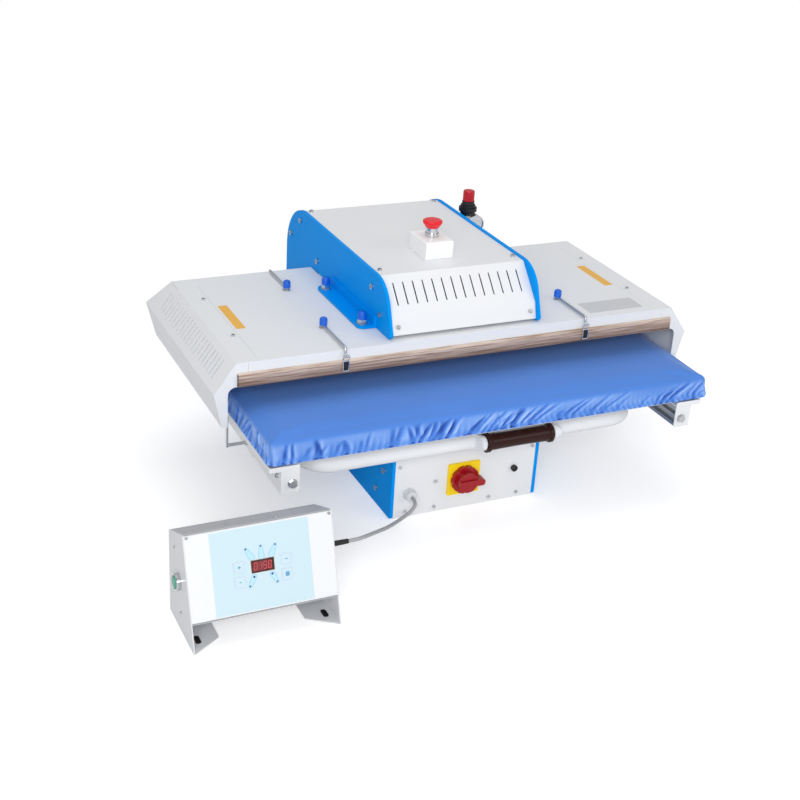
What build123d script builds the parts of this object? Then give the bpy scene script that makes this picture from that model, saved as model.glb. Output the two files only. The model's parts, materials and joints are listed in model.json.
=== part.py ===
from build123d import *
import math
import os

# Flatbed fusing press with a drawer buck, an overhead heated plate and a remote console.
# Millimetres. X runs left to right, Y from front to back, Z up from the table.
# The builders below count Y from the front edge of the base; save() moves the model so that
# the origin is the centre of the base's underside.

# Frame: two side plates with a C-shaped throat, tied together by spacer bars
frame_inner_width = 302.0
plate_thickness = 6.4
base_height = 124.0
column_depth = 144.0
arm_height = 102.0
arm_front = 45.5
arm_front_lean = 34.0
plate_front_round = 66.0
plate_rear_round = 100.0
throat_round = 24.0
cover_setback = 6.5
cover_margin = 3.0
cover_lean = 8.0
cover_fold_rise = 30.0
cover_slope_run = 60.0
cover_slot_count = 14
cover_slot_width = 2.6
cover_slot_length = 45.0
cover_slot_margin = 22.0
cover_slot_share = 0.55
rear_slot_length = 120.0
rear_slot_height = 6.0
rear_slot_low = 40.0
rear_slot_pitch = 30.0
spacer_diameter = 14.0
spacer_screw = 6.0
sheet = 1.5
panel_screw_low = 11.5
fit_gap = 0.4

# Heated head hanging under the arm
press_width = 900.0
press_depth = 406.0
head_height = 122.0
head_front = 35.0
hood_bulge = 41.6
hood_tuck = 15.5
hood_chamfer_drop = 55.5
hood_lip = 10.0
hood_top_rim = 41.0
top_panel_inset = 41.0
louvre_count = 22
louvre_pitch = 15.6
louvre_width = 3.0
louvre_length = 40.0
plate_core = 20.0
plate_rear_inset = 5.0
plate_column_gap = 4.0
element_diameter = 8.0
element_front_margin = 31.0
element_rear_margin = 62.0
element_span = 36.0
element_end_margin = 60.0
element_bend = 16.0
insulation_thickness = 12.0
release_sheet_thickness = 1.2
post_x = 250.0
post_front = 140.0
post_rear = 335.0
post_rise = 14.5
post_cap_diameter = 15.0
stud_cap_diameter = 17.0
cap_height = 15.0
post_diameter = 6.0
spring_diameter = 5.5
hook_wire = 1.0

# Hangers that carry the head
hanger_front = 127.0
hanger_rear = 309.0
hanger_offset = 21.0
hanger_stud = 10.0
hanger_foot = 34.5
hanger_leg = 21.0
hanger_thickness = 4.5

# Drawer buck on two rails
pulled_out = 150.0
buck_depth = 396.0
pad_overhang = 2.0
pad_height = 47.0
pad_crown = 3.0
pad_draw_in = 5.0
pad_corner = 16.0
tray_height = 9.0
tray_inset = 8.0
rail_inset = 50.0
rail_width = 26.0
rail_height = 41.0
rail_length = 534.0
rail_groove = 8.0
rail_groove_depth = 8.5
tray_setback = 20.0
tab_width = 34.0
tab_thickness = 2.0
tab_bolt = 8.0
daylight = 41.5

# Lift under the drawer
rail_clearance = 44.0
lift_stroke = 40.0
beam_front = 125.0
beam_rear = 250.0
beam_width = 30.0
beam_height = 24.0
beam_drop = 4.0
glide_length = 40.0
glide_gap = 0.35
lift_plate_front = 110.0
lift_plate_rear = 320.0
lift_plate_thickness = 8.0
bore_diameter = 100.0
cylinder_wall = 12.0
rod_diameter = 25.0
piston_thickness = 18.0
guide_diameter = 20.0
guide_spread = 210.0
guide_front = 165.0
guide_rear = 305.0
running_gap = 0.05
bush_wall = 6.0
bush_length = 28.0
top_plate_thickness = 8.0

# Bow under the buck with its pull handle
bow_diameter = 32.0
bow_wall = 2.0
bow_inset = 62.0
bow_front = -32.0
bow_drop = 6.0
bow_bend = 48.0
bow_leg_end = 60.0
butt_gap = 0.02
bow_seam = 192.0
handle_start = -14.0
handle_end = 155.0
handle_diameter = 22.0
handle_reach = 34.0
handle_rise = 11.0
grip_start = -3.0
grip_length = 139.0
grip_diameter = 32.0
grip_flange = 38.0
eye_plate_radius = 14.0
eye_plate_width = 8.0

# Controls on the frame
switch_x = -6.5
switch_z = 65.5
switch_plate_size = 67.0
switch_plate_thickness = 5.0
switch_knob_diameter = 57.0
switch_knob_height = 26.0
fuse_x = 105.0
fuse_z = 67.0
gland_x = -120.5
gland_z = 50.0
estop_x = -5.0
estop_y = 208.0
estop_box_width = 58.0
estop_box_depth = 76.0
estop_box_height = 34.0
estop_diameter = 38.0
estop_height = 15.5
estop_travel = 4.5
estop_barrel = 18.0
estop_barrel_diameter = 23.4
regulator_x = 186.0
regulator_y = 425.0
regulator_body = 36.0
regulator_knob = 24.0
regulator_knob_height = 22.0
regulator_rise = 20.5
regulator_drop = 44.0
regulator_ring = 38.0
air_tube = 8.0
port_depth = 12.0

# Electrics and air behind the base panel
module_depth = 190.0
transformer_width = 80.0
transformer_depth = 70.0
transformer_height = 70.0
board_width = 110.0
board_depth = 150.0
relay_size = 18.0
relay_pitch = 24.0
valve_width = 60.0
valve_depth = 30.0
valve_height = 26.0
valve_bottom = 40.0

# Console standing in front of the press
console_left = -626.0
console_width = 254.0
console_front_bottom_y = -268.0
console_front_bottom_z = 47.0
console_front_top_y = -221.0
console_front_top_z = 189.0
console_rear_y = -144.0
console_rear_top_z = 156.0
console_foot_width = 52.0
console_sheet = 2.0
membrane_width = 168.5
membrane_height = 139.0
start_y = -202.0
start_z = 91.0
start_ring = 30.0
start_button = 23.0
start_ring_height = 8.0
start_travel = 3.0
console_port_y = -168.0
console_port_z = 84.0
relief_length = 56.0
console_screw = 3.0
cable_diameter = 7.0

# Values worked out from the driving dimensions
half_gap = frame_inner_width / 2
half_frame = half_gap + plate_thickness
head_rear = head_front + press_depth
plate_rear = head_rear - plate_rear_inset
column_front = plate_rear + plate_column_gap
base_depth = column_front + column_depth
rail_bottom = base_height + rail_clearance
tray_bottom = rail_bottom + rail_height
pad_bottom = tray_bottom + tray_height
pad_top = pad_bottom + pad_height
hot_face = pad_top + daylight
core_bottom = hot_face + release_sheet_thickness
core_top = core_bottom + plate_core
head_top = core_top + 23.3
head_bottom = head_top - head_height
hood_mid = head_top - hood_chamfer_drop
hood_top_half = press_width / 2 + 1.7
hood_mid_half = hood_top_half + hood_bulge
hood_low_half = hood_mid_half - hood_tuck
arm_bottom = head_top + 0.8
arm_top = head_top + arm_height
buck_front = head_front + 3.0 - pulled_out
buck_rear = buck_front + buck_depth
tray_half = press_width / 2 - tray_inset
pad_half = press_width / 2 + pad_overhang
rail_center = press_width / 2 - rail_inset
bow_half_width = rail_center - bow_inset
rail_inner = rail_center - rail_width / 2
rail_outer = rail_center + rail_width / 2
groove_z = tray_bottom - 13.0
beam_top = tray_bottom - beam_drop
beam_bottom = beam_top - beam_height
lift_center_y = head_front + press_depth / 2 - 3.0
cylinder_radius = bore_diameter / 2 + cylinder_wall
base_top_bottom = base_height - top_plate_thickness
bow_z = rail_bottom - bow_drop
clip_top = head_top - 6.0
cover_top = arm_top - cover_margin
cover_rear = base_depth - plate_rear_round + 20.0
console_right = console_left + console_width

made = {}


def save(name, shape):
    """Move a finished piece into the origin frame, write it and remember it."""
    solids = [s.moved(Location((0, -base_depth / 2, 0))) for s in shape.solids()]
    placed = Compound(children=solids) if len(solids) > 1 else solids[0]
    export_step(placed, os.path.join("parts", name + ".step"))
    made[name] = placed


def block(x0, x1, y0, y1, z0, z1):
    return Pos((x0 + x1) / 2, (y0 + y1) / 2, (z0 + z1) / 2) * Box(abs(x1 - x0), abs(y1 - y0), abs(z1 - z0))


def rod(start, direction, radius, length):
    """A cylinder that starts at a point and runs along a direction."""
    plane = Plane(origin=start, z_dir=direction)
    return plane * Pos(0, 0, length / 2) * Cylinder(radius, length)


def hexagon(start, direction, across, height):
    plane = Plane(origin=start, z_dir=direction)
    return extrude(plane * RegularPolygon(across / 2, 6, major_radius=False), height)


def outline(points, rounds=None):
    """A flat face from corner points, with some corners rounded: {corner number: radius}."""
    face = make_face(Polyline(*[(a, b) for a, b in points], close=True))
    for corner, radius in (rounds or {}).items():
        spot = Vector(points[corner][0], points[corner][1], 0)
        near = min(face.vertices(), key=lambda v: (Vector(v.X, v.Y, v.Z) - spot).length)
        face = fillet(near, radius)
    return face


def along_x(face, x0, x1):
    return extrude(Plane.YZ.offset(x0) * face, x1 - x0)


def along_y(face, y0, y1):
    return extrude(Plane.XZ.offset(-y1) * face, y1 - y0)


def along_z(face, z0, z1):
    return extrude(Plane.XY.offset(z0) * face, z1 - z0)


def bent(points, thickness):
    """Closed outline of a bent sheet: the open path and its mitred offset to the left."""
    count = len(points)
    shifted = []
    for i in range(count):
        before = points[max(i - 1, 0)]
        here = points[i]
        after = points[min(i + 1, count - 1)]
        normals = []
        for a, b in ((before, here), (here, after)):
            length = math.hypot(b[0] - a[0], b[1] - a[1])
            if length > 0:
                normals.append((-(b[1] - a[1]) / length, (b[0] - a[0]) / length))
        nx = sum(n[0] for n in normals)
        ny = sum(n[1] for n in normals)
        size = math.hypot(nx, ny)
        nx, ny = nx / size, ny / size
        reach = thickness / (nx * normals[0][0] + ny * normals[0][1])
        shifted.append((here[0] + nx * reach, here[1] + ny * reach))
    return outline(list(points) + shifted[::-1])


def mirrored(shape):
    return shape.mirror(Plane.YZ)


def socket_screw(spot, direction, thread, depth):
    """Socket head screw: head on the surface, shank running back into the part."""
    way = Vector(*direction).normalized()
    start = Vector(*spot)
    head = rod(start, way, thread * 0.85, thread * 0.8)
    head -= hexagon(start + way * (thread * 0.4), way, thread * 0.9, thread)
    return head + rod(start - way * depth, way, thread / 2, depth + 0.5)


def screw_hole(spot, direction, thread, depth):
    way = Vector(*direction).normalized()
    start = Vector(*spot) - way * (depth + 1)
    return rod(start, way, thread / 2 + running_gap, depth + 2)


def washer_bolt(spot, direction, thread, depth):
    """Hexagon bolt with its washer; the washer lies on the surface."""
    way = Vector(*direction).normalized()
    start = Vector(*spot)
    washer = rod(start, way, thread * 1.1, thread * 0.2)
    head = hexagon(start + way * (thread * 0.2), way, thread * 1.6, thread * 0.65)
    return washer + head + rod(start - way * depth, way, thread / 2, depth + 0.5)


# Places that several pieces share
spacer_spots = [
    (arm_front + 44.5, arm_bottom + 33.5),
    (arm_front + 86.5, cover_top - 25),
    (column_front - 34, arm_bottom + 24),
    (base_depth - 80, cover_top - 20),
    (base_depth - 27, cover_top - 64),
    (33.0, base_height - 35),
    (64.0, base_height - 88),
    (base_depth - 44, base_height - 35),
    (base_depth - 44, base_height - 88),
]
panel_screw_spots = [(side * (half_gap - 9), base_height - 14) for side in (-1, 1)]
panel_screw_spots += [(x, panel_screw_low) for x in (-126, -65, 54, 115)] + [(-65, switch_z + 1.5)]
hanger_x = half_frame + hanger_offset
post_spots = [(side * post_x, y) for side in (-1, 1) for y in (post_front, post_rear)]
hood_path = [
    (hood_top_half - top_panel_inset, head_top),
    (hood_top_half, head_top),
    (hood_mid_half, hood_mid),
    (hood_low_half, head_bottom),
    (hood_low_half - hood_lip, head_bottom),
]


def side_plate():
    """C-shaped side plate, drawn in the YZ plane for the left side."""
    points = [
        (0, 0),
        (base_depth, 0),
        (base_depth + 2, head_top - 20),
        (base_depth + 2, arm_top),
        (arm_front + arm_front_lean, arm_top),
        (arm_front - 2, arm_bottom + 6),
        (arm_front + 7, arm_bottom),
        (column_front, arm_bottom),
        (column_front, base_height),
        (0, base_height),
    ]
    rounds = {3: plate_rear_round, 4: plate_front_round, 5: 8.0, 7: throat_round, 8: throat_round, 0: 5.0}
    plate = along_x(outline(points, rounds), -half_frame, -half_gap)
    for y, z in spacer_spots:
        plate -= screw_hole((-half_frame, y, z), (-1, 0, 0), spacer_screw, plate_thickness)
    return plate


def frame_spacers():
    bars = []
    for y, z in spacer_spots:
        bar = rod((-half_gap, y, z), (1, 0, 0), spacer_diameter / 2, frame_inner_width)
        for side in (-1, 1):
            bar -= rod((side * half_gap, y, z), (-side, 0, 0), spacer_screw / 2 + running_gap, 16)
        bars.append(bar)
    return Compound(children=bars)


def base_pan():
    """Folded pan: front panel, floor and rear wall between the side plates."""
    path = [(1.0, base_height), (1.0, 0), (base_depth - 4, 0), (base_depth - 4, base_height)]
    pan = along_x(bent(path, sheet), -half_gap + fit_gap, half_gap - fit_gap)
    for x, z in panel_screw_spots:
        pan -= screw_hole((x, 1.0, z), (0, -1, 0), 4, sheet)
    pan -= rod((gland_x, -2, gland_z), (0, 1, 0), 8.0 + running_gap, 8)
    pan -= rod((fuse_x, -2, fuse_z), (0, 1, 0), 5.0 + running_gap, 8)
    pan -= rod((switch_x, -2, switch_z), (0, 1, 0), 5.0 + running_gap, 8)
    return pan


def base_top_plate():
    """Top of the base with the rod hole and four welded guide bushes."""
    outer = guide_diameter / 2 + bush_wall
    top = block(-half_gap + fit_gap, half_gap - fit_gap, 1.0 + sheet, base_depth - 4 - sheet,
                base_top_bottom, base_height)
    top -= rod((0, lift_center_y, base_top_bottom - 1), (0, 0, 1), rod_diameter / 2 + running_gap,
               top_plate_thickness + 2)
    for x, y in guide_spots():
        top += rod((x, y, base_height - bush_length), (0, 0, 1), outer, bush_length)
        top += rod((x, y, base_height), (0, 0, 1), outer + 4, 3)
        top -= rod((x, y, base_height - bush_length - 1), (0, 0, 1), guide_diameter / 2 + running_gap,
                   bush_length + 5)
    return top


def guide_spots():
    return [(side * guide_spread / 2, y) for side in (-1, 1) for y in (guide_front, guide_rear)]


def lift_cylinder():
    """Short-stroke air cylinder under the base top, one turned shell open at the rod."""
    low, high = sheet, base_top_bottom
    bore = bore_diameter / 2
    neck = rod_diameter / 2 + running_gap
    profile = outline([
        (0, low), (cylinder_radius, low), (cylinder_radius, high), (neck, high),
        (neck, high - 12), (bore, high - 12), (bore, low + 10), (0, low + 10),
    ])
    shell = revolve(Plane.XZ * profile, Axis.Z)
    shell = Pos(0, lift_center_y, 0) * shell
    for z in (low + 18, high - 20):
        shell += rod((cylinder_radius - 2, lift_center_y, z), (1, 0, 0), 7, 16)
    return shell


def piston_rod():
    piston_bottom = sheet + 18.0
    piston = rod((0, lift_center_y, piston_bottom), (0, 0, 1), bore_diameter / 2 - running_gap,
                 piston_thickness)
    shaft = rod((0, lift_center_y, piston_bottom), (0, 0, 1), rod_diameter / 2, beam_bottom - piston_bottom)
    return piston + shaft


def guide_posts():
    posts = []
    for x, y in guide_spots():
        start = base_height - lift_stroke - 14
        post = rod((x, y, start), (0, 0, 1), guide_diameter / 2, beam_bottom - start)
        posts.append(chamfer(post.edges().group_by(Axis.Z)[0], 1.5))
    return Compound(children=posts)


def lift_frame():
    """Lift plate with two cross beams of square tube reaching out to the rails."""
    beam_half = rail_inner - 15
    frame = block(-half_gap + 14, half_gap - 14, lift_plate_front, lift_plate_rear, beam_bottom,
                  beam_bottom + lift_plate_thickness)
    for y in (beam_front, beam_rear):
        tube = block(-beam_half, beam_half, y - beam_width / 2, y + beam_width / 2, beam_bottom, beam_top)
        tube -= block(-beam_half - 1, beam_half + 1, y - beam_width / 2 + 2, y + beam_width / 2 - 2,
                      beam_bottom + 2, beam_top - 2)
        frame += tube
    return frame


def glide_blocks():
    """Plastic glides on the beam ends; a tongue on each runs in the rail's upper groove."""
    blocks = []
    for side in (-1, 1):
        for y in (beam_front, beam_rear):
            low, high = y - glide_length / 2, y + glide_length / 2
            body = block(side * (rail_inner - 15), side * (rail_inner - glide_gap), low, high,
                         beam_bottom + 3, tray_bottom - 2)
            tongue = block(side * (rail_inner - 3), side * (rail_inner + rail_groove_depth - 1), low, high,
                           groove_z - rail_groove / 2 + glide_gap, groove_z + rail_groove / 2 - glide_gap)
            blocks.append(body + tongue)
    return Compound(children=blocks)


def drawer_rail():
    """Aluminium profile of the left side: two grooves on each flank and a tapped end."""
    rail_front = buck_front + tab_thickness
    low, high = rail_bottom, tray_bottom
    rail = block(-rail_outer, -rail_inner, rail_front, rail_front + rail_length, low, high)
    for z in (groove_z, groove_z - 17):
        for edge, inward in ((-rail_inner, -1), (-rail_outer, 1)):
            rail -= block(edge - inward, edge + inward * rail_groove_depth, rail_front - 1,
                          rail_front + rail_length + 1, z - rail_groove / 2, z + rail_groove / 2)
    rail -= rod((-rail_center, rail_front - 1, tab_bolt_z()), (0, 1, 0), tab_bolt / 2 + running_gap, 31)
    return rail


def tab_bolt_z():
    return rail_bottom + 16.0


def rail_tab():
    """Left end tab with its long side cover, one folded sheet in front of and beside the rail."""
    tab_outer = rail_inner + tab_width
    low, high = rail_bottom - 3, tray_bottom
    corners = [(-tab_outer, low), (-rail_inner, low), (-rail_inner, high), (-tab_outer, high)]
    front = outline(corners, {0: 3, 1: 3})
    tab = along_y(front, buck_front, buck_front + tab_thickness)
    tab += block(-tab_outer, -tab_outer + tab_thickness, buck_front, buck_front + rail_length, low, high)
    tab -= screw_hole((-rail_center, buck_front, tab_bolt_z()), (0, -1, 0), tab_bolt, tab_thickness)
    tab -= screw_hole((-tab_outer, buck_front + 16, high - 15), (-1, 0, 0), 5, tab_thickness)
    tab -= screw_hole((-tab_outer, trip_y(), trip_z()), (-1, 0, 0), 6, tab_thickness)
    return tab


def trip_y():
    return 62.0


def trip_z():
    return rail_bottom + 11.0


def trip_arm():
    """Stud with an upright finger beside the buck; it runs past the limit switch in the hood."""
    face = rail_inner + tab_width
    finger_x = pad_half + 8.0
    stud = rod((-face + tab_thickness, trip_y(), trip_z()), (-1, 0, 0), 3, finger_x - face + tab_thickness)
    nut = hexagon((-face, trip_y(), trip_z()), (-1, 0, 0), 10, 5)
    finger = rod((-finger_x, trip_y(), trip_z() - 4), (0, 0, 1), 2.3, head_bottom + 10 - trip_z())
    return stud + nut + finger


def limit_switch():
    """Limit switch on the hood's left inner wall, with a roller on a short lever."""
    def wall_x(z):
        share = (z - head_bottom) / (hood_mid - head_bottom)
        return hood_low_half + share * hood_tuck - sheet * 1.05
    low, high = head_bottom + 16, head_bottom + 46
    inner = pad_half + 14.5
    body = outline([(-wall_x(low), low), (-inner, low), (-inner, high), (-wall_x(high), high)])
    start = trip_y() + pulled_out + 24
    switch = along_y(body, start, start + 34)
    lever_x = inner + 4
    lever = block(-lever_x - 2, -lever_x + 1, start - 16, start + 2, low + 4, low + 8)
    roller = rod((-lever_x - 3, start - 16, low + 6), (1, 0, 0), 5, 5)
    return switch + lever + roller


def buck_tray():
    """Shallow pan with the raised board that the pad is stretched over."""
    pan = block(-tray_half, tray_half, buck_front, buck_rear - 2, tray_bottom, pad_bottom)
    pan -= block(-tray_half + 2, tray_half - 2, buck_front + 2, buck_rear - 4, tray_bottom + 2,
                 pad_bottom + 1)
    pan -= block(-rail_inner, rail_inner, buck_front - 1, buck_front + tray_setback, tray_bottom - 1,
                 pad_bottom + 1)
    board = block(-tray_half + 20, tray_half - 20, buck_front + tray_setback, buck_rear - 22,
                  tray_bottom + 1, pad_bottom)
    return pan + board


def buck_pad():
    """Padded buck: crowned top and sides that draw in towards the hem."""
    def section(half, draw):
        edge = pad_top - pad_crown
        arc_top = ThreePointArc((-half + 8, edge), (0, pad_top), (half - 8, edge))
        right_top = ThreePointArc((half - 8, edge), (half - 2, edge - 3), (half, edge - 10))
        right = ThreePointArc((half, edge - 10), (half - draw * 0.2, pad_bottom + 16),
                              (half - draw, pad_bottom))
        left = ThreePointArc((-half + draw, pad_bottom), (-half + draw * 0.2, pad_bottom + 16),
                             (-half, edge - 10))
        left_top = ThreePointArc((-half, edge - 10), (-half + 2, edge - 3), (-half + 8, edge))
        base = Line((half - draw, pad_bottom), (-half + draw, pad_bottom))
        return make_face([arc_top, right_top, right, base, left, left_top])
    middle = (buck_front + buck_rear) / 2
    depth_half = buck_depth / 2
    across = along_y(section(pad_half, pad_draw_in), buck_front - 1, buck_rear + 1)
    side_face = Pos(middle, 0) * section(depth_half, pad_draw_in)
    pad = across & along_x(side_face, -pad_half - 1, pad_half + 1)
    plan = Pos(0, middle) * RectangleRounded(2 * pad_half + 0.02, buck_depth + 0.02, pad_corner)
    return pad & along_z(plan, pad_bottom - 1, pad_top + 1)


def bow_tube():
    """U-shaped tube under the buck: butted lengths, with an angle under each rail."""
    path = FilletPolyline(
        (-bow_half_width, bow_leg_end, bow_z),
        (-bow_half_width, bow_front, bow_z),
        (bow_half_width, bow_front, bow_z),
        (bow_half_width, bow_leg_end, bow_z),
        radius=bow_bend,
    )
    end = Plane(origin=(-bow_half_width, bow_leg_end, bow_z), z_dir=(0, -1, 0))
    outer = sweep(end * Circle(bow_diameter / 2), path=path)
    inner = sweep(end * Circle(bow_diameter / 2 - bow_wall), path=path)
    low = bow_z - bow_diameter / 2
    for side in (-1, 1):
        outer += block(side * (bow_half_width - bow_diameter / 2), side * rail_outer, bow_leg_end,
                       bow_leg_end + 4, low, rail_bottom)
        outer += block(side * rail_inner, side * rail_outer, bow_leg_end, bow_leg_end + 40,
                       rail_bottom - 4, rail_bottom)
    bow = outer - inner
    reach = bow_half_width + bow_diameter
    elbow = bow_half_width - bow_bend
    for joint in (-elbow, -bow_seam, bow_seam, elbow):
        bow -= block(joint - butt_gap / 2, joint + butt_gap / 2, bow_front - bow_diameter, bow_leg_end,
                     low - 1, tray_bottom)
    joint = bow_front + bow_bend
    return bow - block(-reach, reach, joint - butt_gap / 2, joint + butt_gap / 2, low - 1, tray_bottom)


def handle_axis():
    return bow_front - handle_reach, bow_z + handle_rise


def handle_bar():
    """Handle tube in front of the bow, on two eye plates that seat against the bow."""
    y, z = handle_axis()
    radius = handle_diameter / 2
    bar = rod((handle_start, y, z), (1, 0, 0), radius, handle_end - handle_start)
    for x in (handle_start + 1, grip_start + grip_length + 4):
        rings = (Pos(y, z) * Circle(eye_plate_radius)).edges()
        rings += (Pos(bow_front, bow_z) * Circle(bow_diameter / 2)).edges()
        bar += along_x(make_hull(rings), x, x + eye_plate_width)
    bar -= rod((-bow_half_width, bow_front, bow_z), (1, 0, 0), bow_diameter / 2 + 0.02, 2 * bow_half_width)
    bar -= rod((handle_start + eye_plate_width, y, z), (1, 0, 0), radius - 2.5, handle_end - handle_start)
    return bar - rod((handle_start - 1, y, z), (1, 0, 0), 3, 4)


def handle_grip():
    """Moulded grip with a flange at each end and a slight waist."""
    y, z = handle_axis()
    inner = handle_diameter / 2 + 0.02
    body = grip_diameter / 2
    flange = grip_flange / 2
    length = grip_length
    profile = make_face([
        Line((0, inner), (0, flange)),
        Line((0, flange), (6, flange)),
        Line((6, flange), (9, body)),
        ThreePointArc((9, body), (length / 2, body - 1), (length - 9, body)),
        Line((length - 9, body), (length - 6, flange)),
        Line((length - 6, flange), (length, flange)),
        Line((length, flange), (length, inner)),
        Line((length, inner), (0, inner)),
    ])
    grip = revolve(Plane.XY * profile, Axis.X)
    return Pos(grip_start, y, z) * grip


def louvre_cuts():
    """Slots through the left chamfer of the hood, one row along Y."""
    slope = math.degrees(math.atan2(hood_chamfer_drop, hood_bulge))
    mid_x = hood_top_half + hood_bulge * 0.5
    mid_z = head_top - hood_chamfer_drop * 0.5
    first = head_front + (press_depth - louvre_pitch * (louvre_count - 1)) / 2 + 6
    cuts = []
    for i in range(louvre_count):
        slot = Box(louvre_length, louvre_width, 12)
        cuts.append(Pos(-mid_x, first + i * louvre_pitch, mid_z) * Rot(0, -slope, 0) * slot)
    return Compound(children=cuts)


def head_side_cover():
    """Left hood side: bent sheet with louvres, and a front flange round the opening."""
    path = [(-x, z) for x, z in hood_path]
    shell = along_y(bent(path[::-1], -sheet), head_front, head_rear + 80)
    shell -= louvre_cuts()
    seam = Plane(origin=(-hood_top_half, head_rear - fit_gap, head_top), z_dir=(-1, -1, 0))
    cutter = seam * Pos(0, 0, -press_depth / 2) * Box(press_width, press_width, press_depth)
    shell = shell - cutter
    shell = shell - block(-hood_top_half - fit_gap / 2, 0, head_rear - hood_top_rim, head_rear + 90,
                          head_top - 20, head_top + 1)
    opening = press_width / 2 + 17.7
    weld = sheet * 0.6
    flange = outline([
        (-hood_top_half + 21, head_top - weld),
        (-hood_top_half + weld, head_top - weld),
        (-hood_mid_half + weld, hood_mid),
        (-hood_low_half + weld, head_bottom + weld),
        (-opening, head_bottom + weld),
        (-opening, hot_face - 1),
        (-press_width / 2 - 0.6, hot_face - 1),
        (-press_width / 2 - 0.6, core_top + 1.5),
        (-hood_top_half + 21, core_top + 1.5),
    ], {5: 15.0})
    shell += along_y(flange, head_front, head_front + sheet)
    for x, y in hood_screw_spots():
        if x < 0:
            shell -= screw_hole((x, y, head_top), (0, 0, 1), 4, sheet)
    return shell


def head_rear_cover():
    """Left half of the hood's rear skirt, cut back from the frame column and over the rail."""
    path = [
        (head_rear - hood_top_rim + fit_gap, head_top),
        (head_rear, head_top),
        (head_rear + hood_bulge, hood_mid),
        (head_rear + hood_bulge - hood_tuck, head_bottom),
        (head_rear + hood_bulge - hood_tuck - hood_lip, head_bottom),
    ]
    shell = along_x(bent(path[::-1], sheet), -hood_mid_half - 60, -half_frame - 1.0)
    seam = Plane(origin=(-hood_top_half, head_rear + fit_gap, head_top), z_dir=(1, 1, 0))
    cutter = seam * Pos(0, 0, -press_depth / 2) * Box(press_width, press_width, press_depth)
    shell = shell - (cutter & block(-press_width, 0, head_rear, head_rear + press_depth, 0, arm_top))
    shell -= block(-hood_mid_half - 60, -hood_top_half + fit_gap / 2, 0, head_rear, head_top - 20, head_top + 1)
    return shell - block(-rail_inner - tab_width - 6, -rail_inner + 6, head_rear, head_rear + 80,
                         head_bottom - 3 * sheet, tray_bottom + lift_stroke + 5)


def head_top_panel():
    """Top sheet between the side covers, with the white apron folded down in front."""
    half = hood_top_half - top_panel_inset - fit_gap
    rear = head_rear - hood_top_rim
    top = block(-half, half, head_front, rear, head_top - sheet, head_top)
    apron_half = hood_top_half - 21 - fit_gap
    top += block(-apron_half, apron_half, head_front, head_front + sheet, core_top + 1.5, head_top - sheet)
    for x, y in post_spots:
        top -= rod((x, y, head_top - sheet - 1), (0, 0, 1), post_diameter / 2 + running_gap, sheet + 2)
    for side in (-1, 1):
        for y in (hanger_front, hanger_rear):
            top -= rod((side * hanger_x, y, head_top - sheet - 1), (0, 0, 1), hanger_stud / 2 + 1.5,
                       sheet + 2)
    return top


def heating_plate():
    """Aluminium plate with a bevelled front and rear edge and four tapped hanger holes."""
    half = press_width / 2 - 1.5
    profile = outline([
        (head_front - 4, core_bottom + 2), (head_front - 2, core_bottom), (plate_rear - 2, core_bottom),
        (plate_rear, core_bottom + 2), (plate_rear, core_top), (head_front - 4, core_top),
    ])
    plate = along_x(profile, -half, half)
    for side in (-1, 1):
        for y in (hanger_front, hanger_rear):
            plate -= rod((side * hanger_x, y, core_top - 12), (0, 0, 1), hanger_stud / 2 + running_gap, 13)
    return plate


def heating_elements():
    """Two tubular heaters, each a flat hairpin clamped on the plate between the hangers."""
    radius = element_diameter / 2
    z = core_top + radius
    loops = []
    reach = press_width / 2 - element_end_margin
    front = head_front - 4 + element_front_margin
    rear = plate_rear - element_rear_margin
    for y0, y1 in ((front, front + element_span), (rear - element_span, rear)):
        path = FilletPolyline((-reach, y0, z), (reach, y0, z), (reach, y1, z), (-reach, y1, z),
                              radius=element_bend)
        start = Plane(origin=(-reach, y0, z), z_dir=(1, 0, 0))
        loops.append(sweep(start * Circle(radius - 0.01), path=path))
    return Compound(children=loops)


def insulation_blanket():
    half = press_width / 2 - 6
    low = core_top + element_diameter + 0.5
    rear = head_rear - hood_top_rim - 6
    high = min(low + insulation_thickness, head_top - sheet - 0.5)
    blanket = block(-half, half, head_front + 6, rear, low, high)
    for side in (-1, 1):
        for y in (hanger_front, hanger_rear):
            blanket -= rod((side * hanger_x, y, low - 1), (0, 0, 1), hanger_stud / 2 + 4,
                           insulation_thickness + 2)
    return blanket


def release_sheet():
    """Coated glass cloth under the plate, turned up at the front and the back."""
    half = press_width / 2
    path = [
        (head_front - 4.2, core_top + 0.4), (head_front - 4.2, core_bottom), (plate_rear + 0.2, core_bottom),
        (plate_rear + 0.2, core_top + 0.4),
    ]
    return along_x(bent(path, -release_sheet_thickness), -half, half)


def sheet_clips():
    """Spring clips over the cloth's front hem, each with an eye for a spring hook."""
    hem_face = head_front - 4.2 - release_sheet_thickness
    clips = []
    for side in (-1, 1):
        x = side * post_x
        jaw = block(x - 8, x + 8, hem_face - 2.1, hem_face - 0.1, core_bottom + 10, clip_top)
        yoke = block(x - 8, x + 8, hem_face - 1, head_front - 0.4, core_top + 1.8, core_top + 3)
        clips.append(jaw + yoke - rod((x, hem_face - 5, clip_top - 4), (0, 1, 0), hook_wire, 8))
    return Compound(children=clips)


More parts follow.
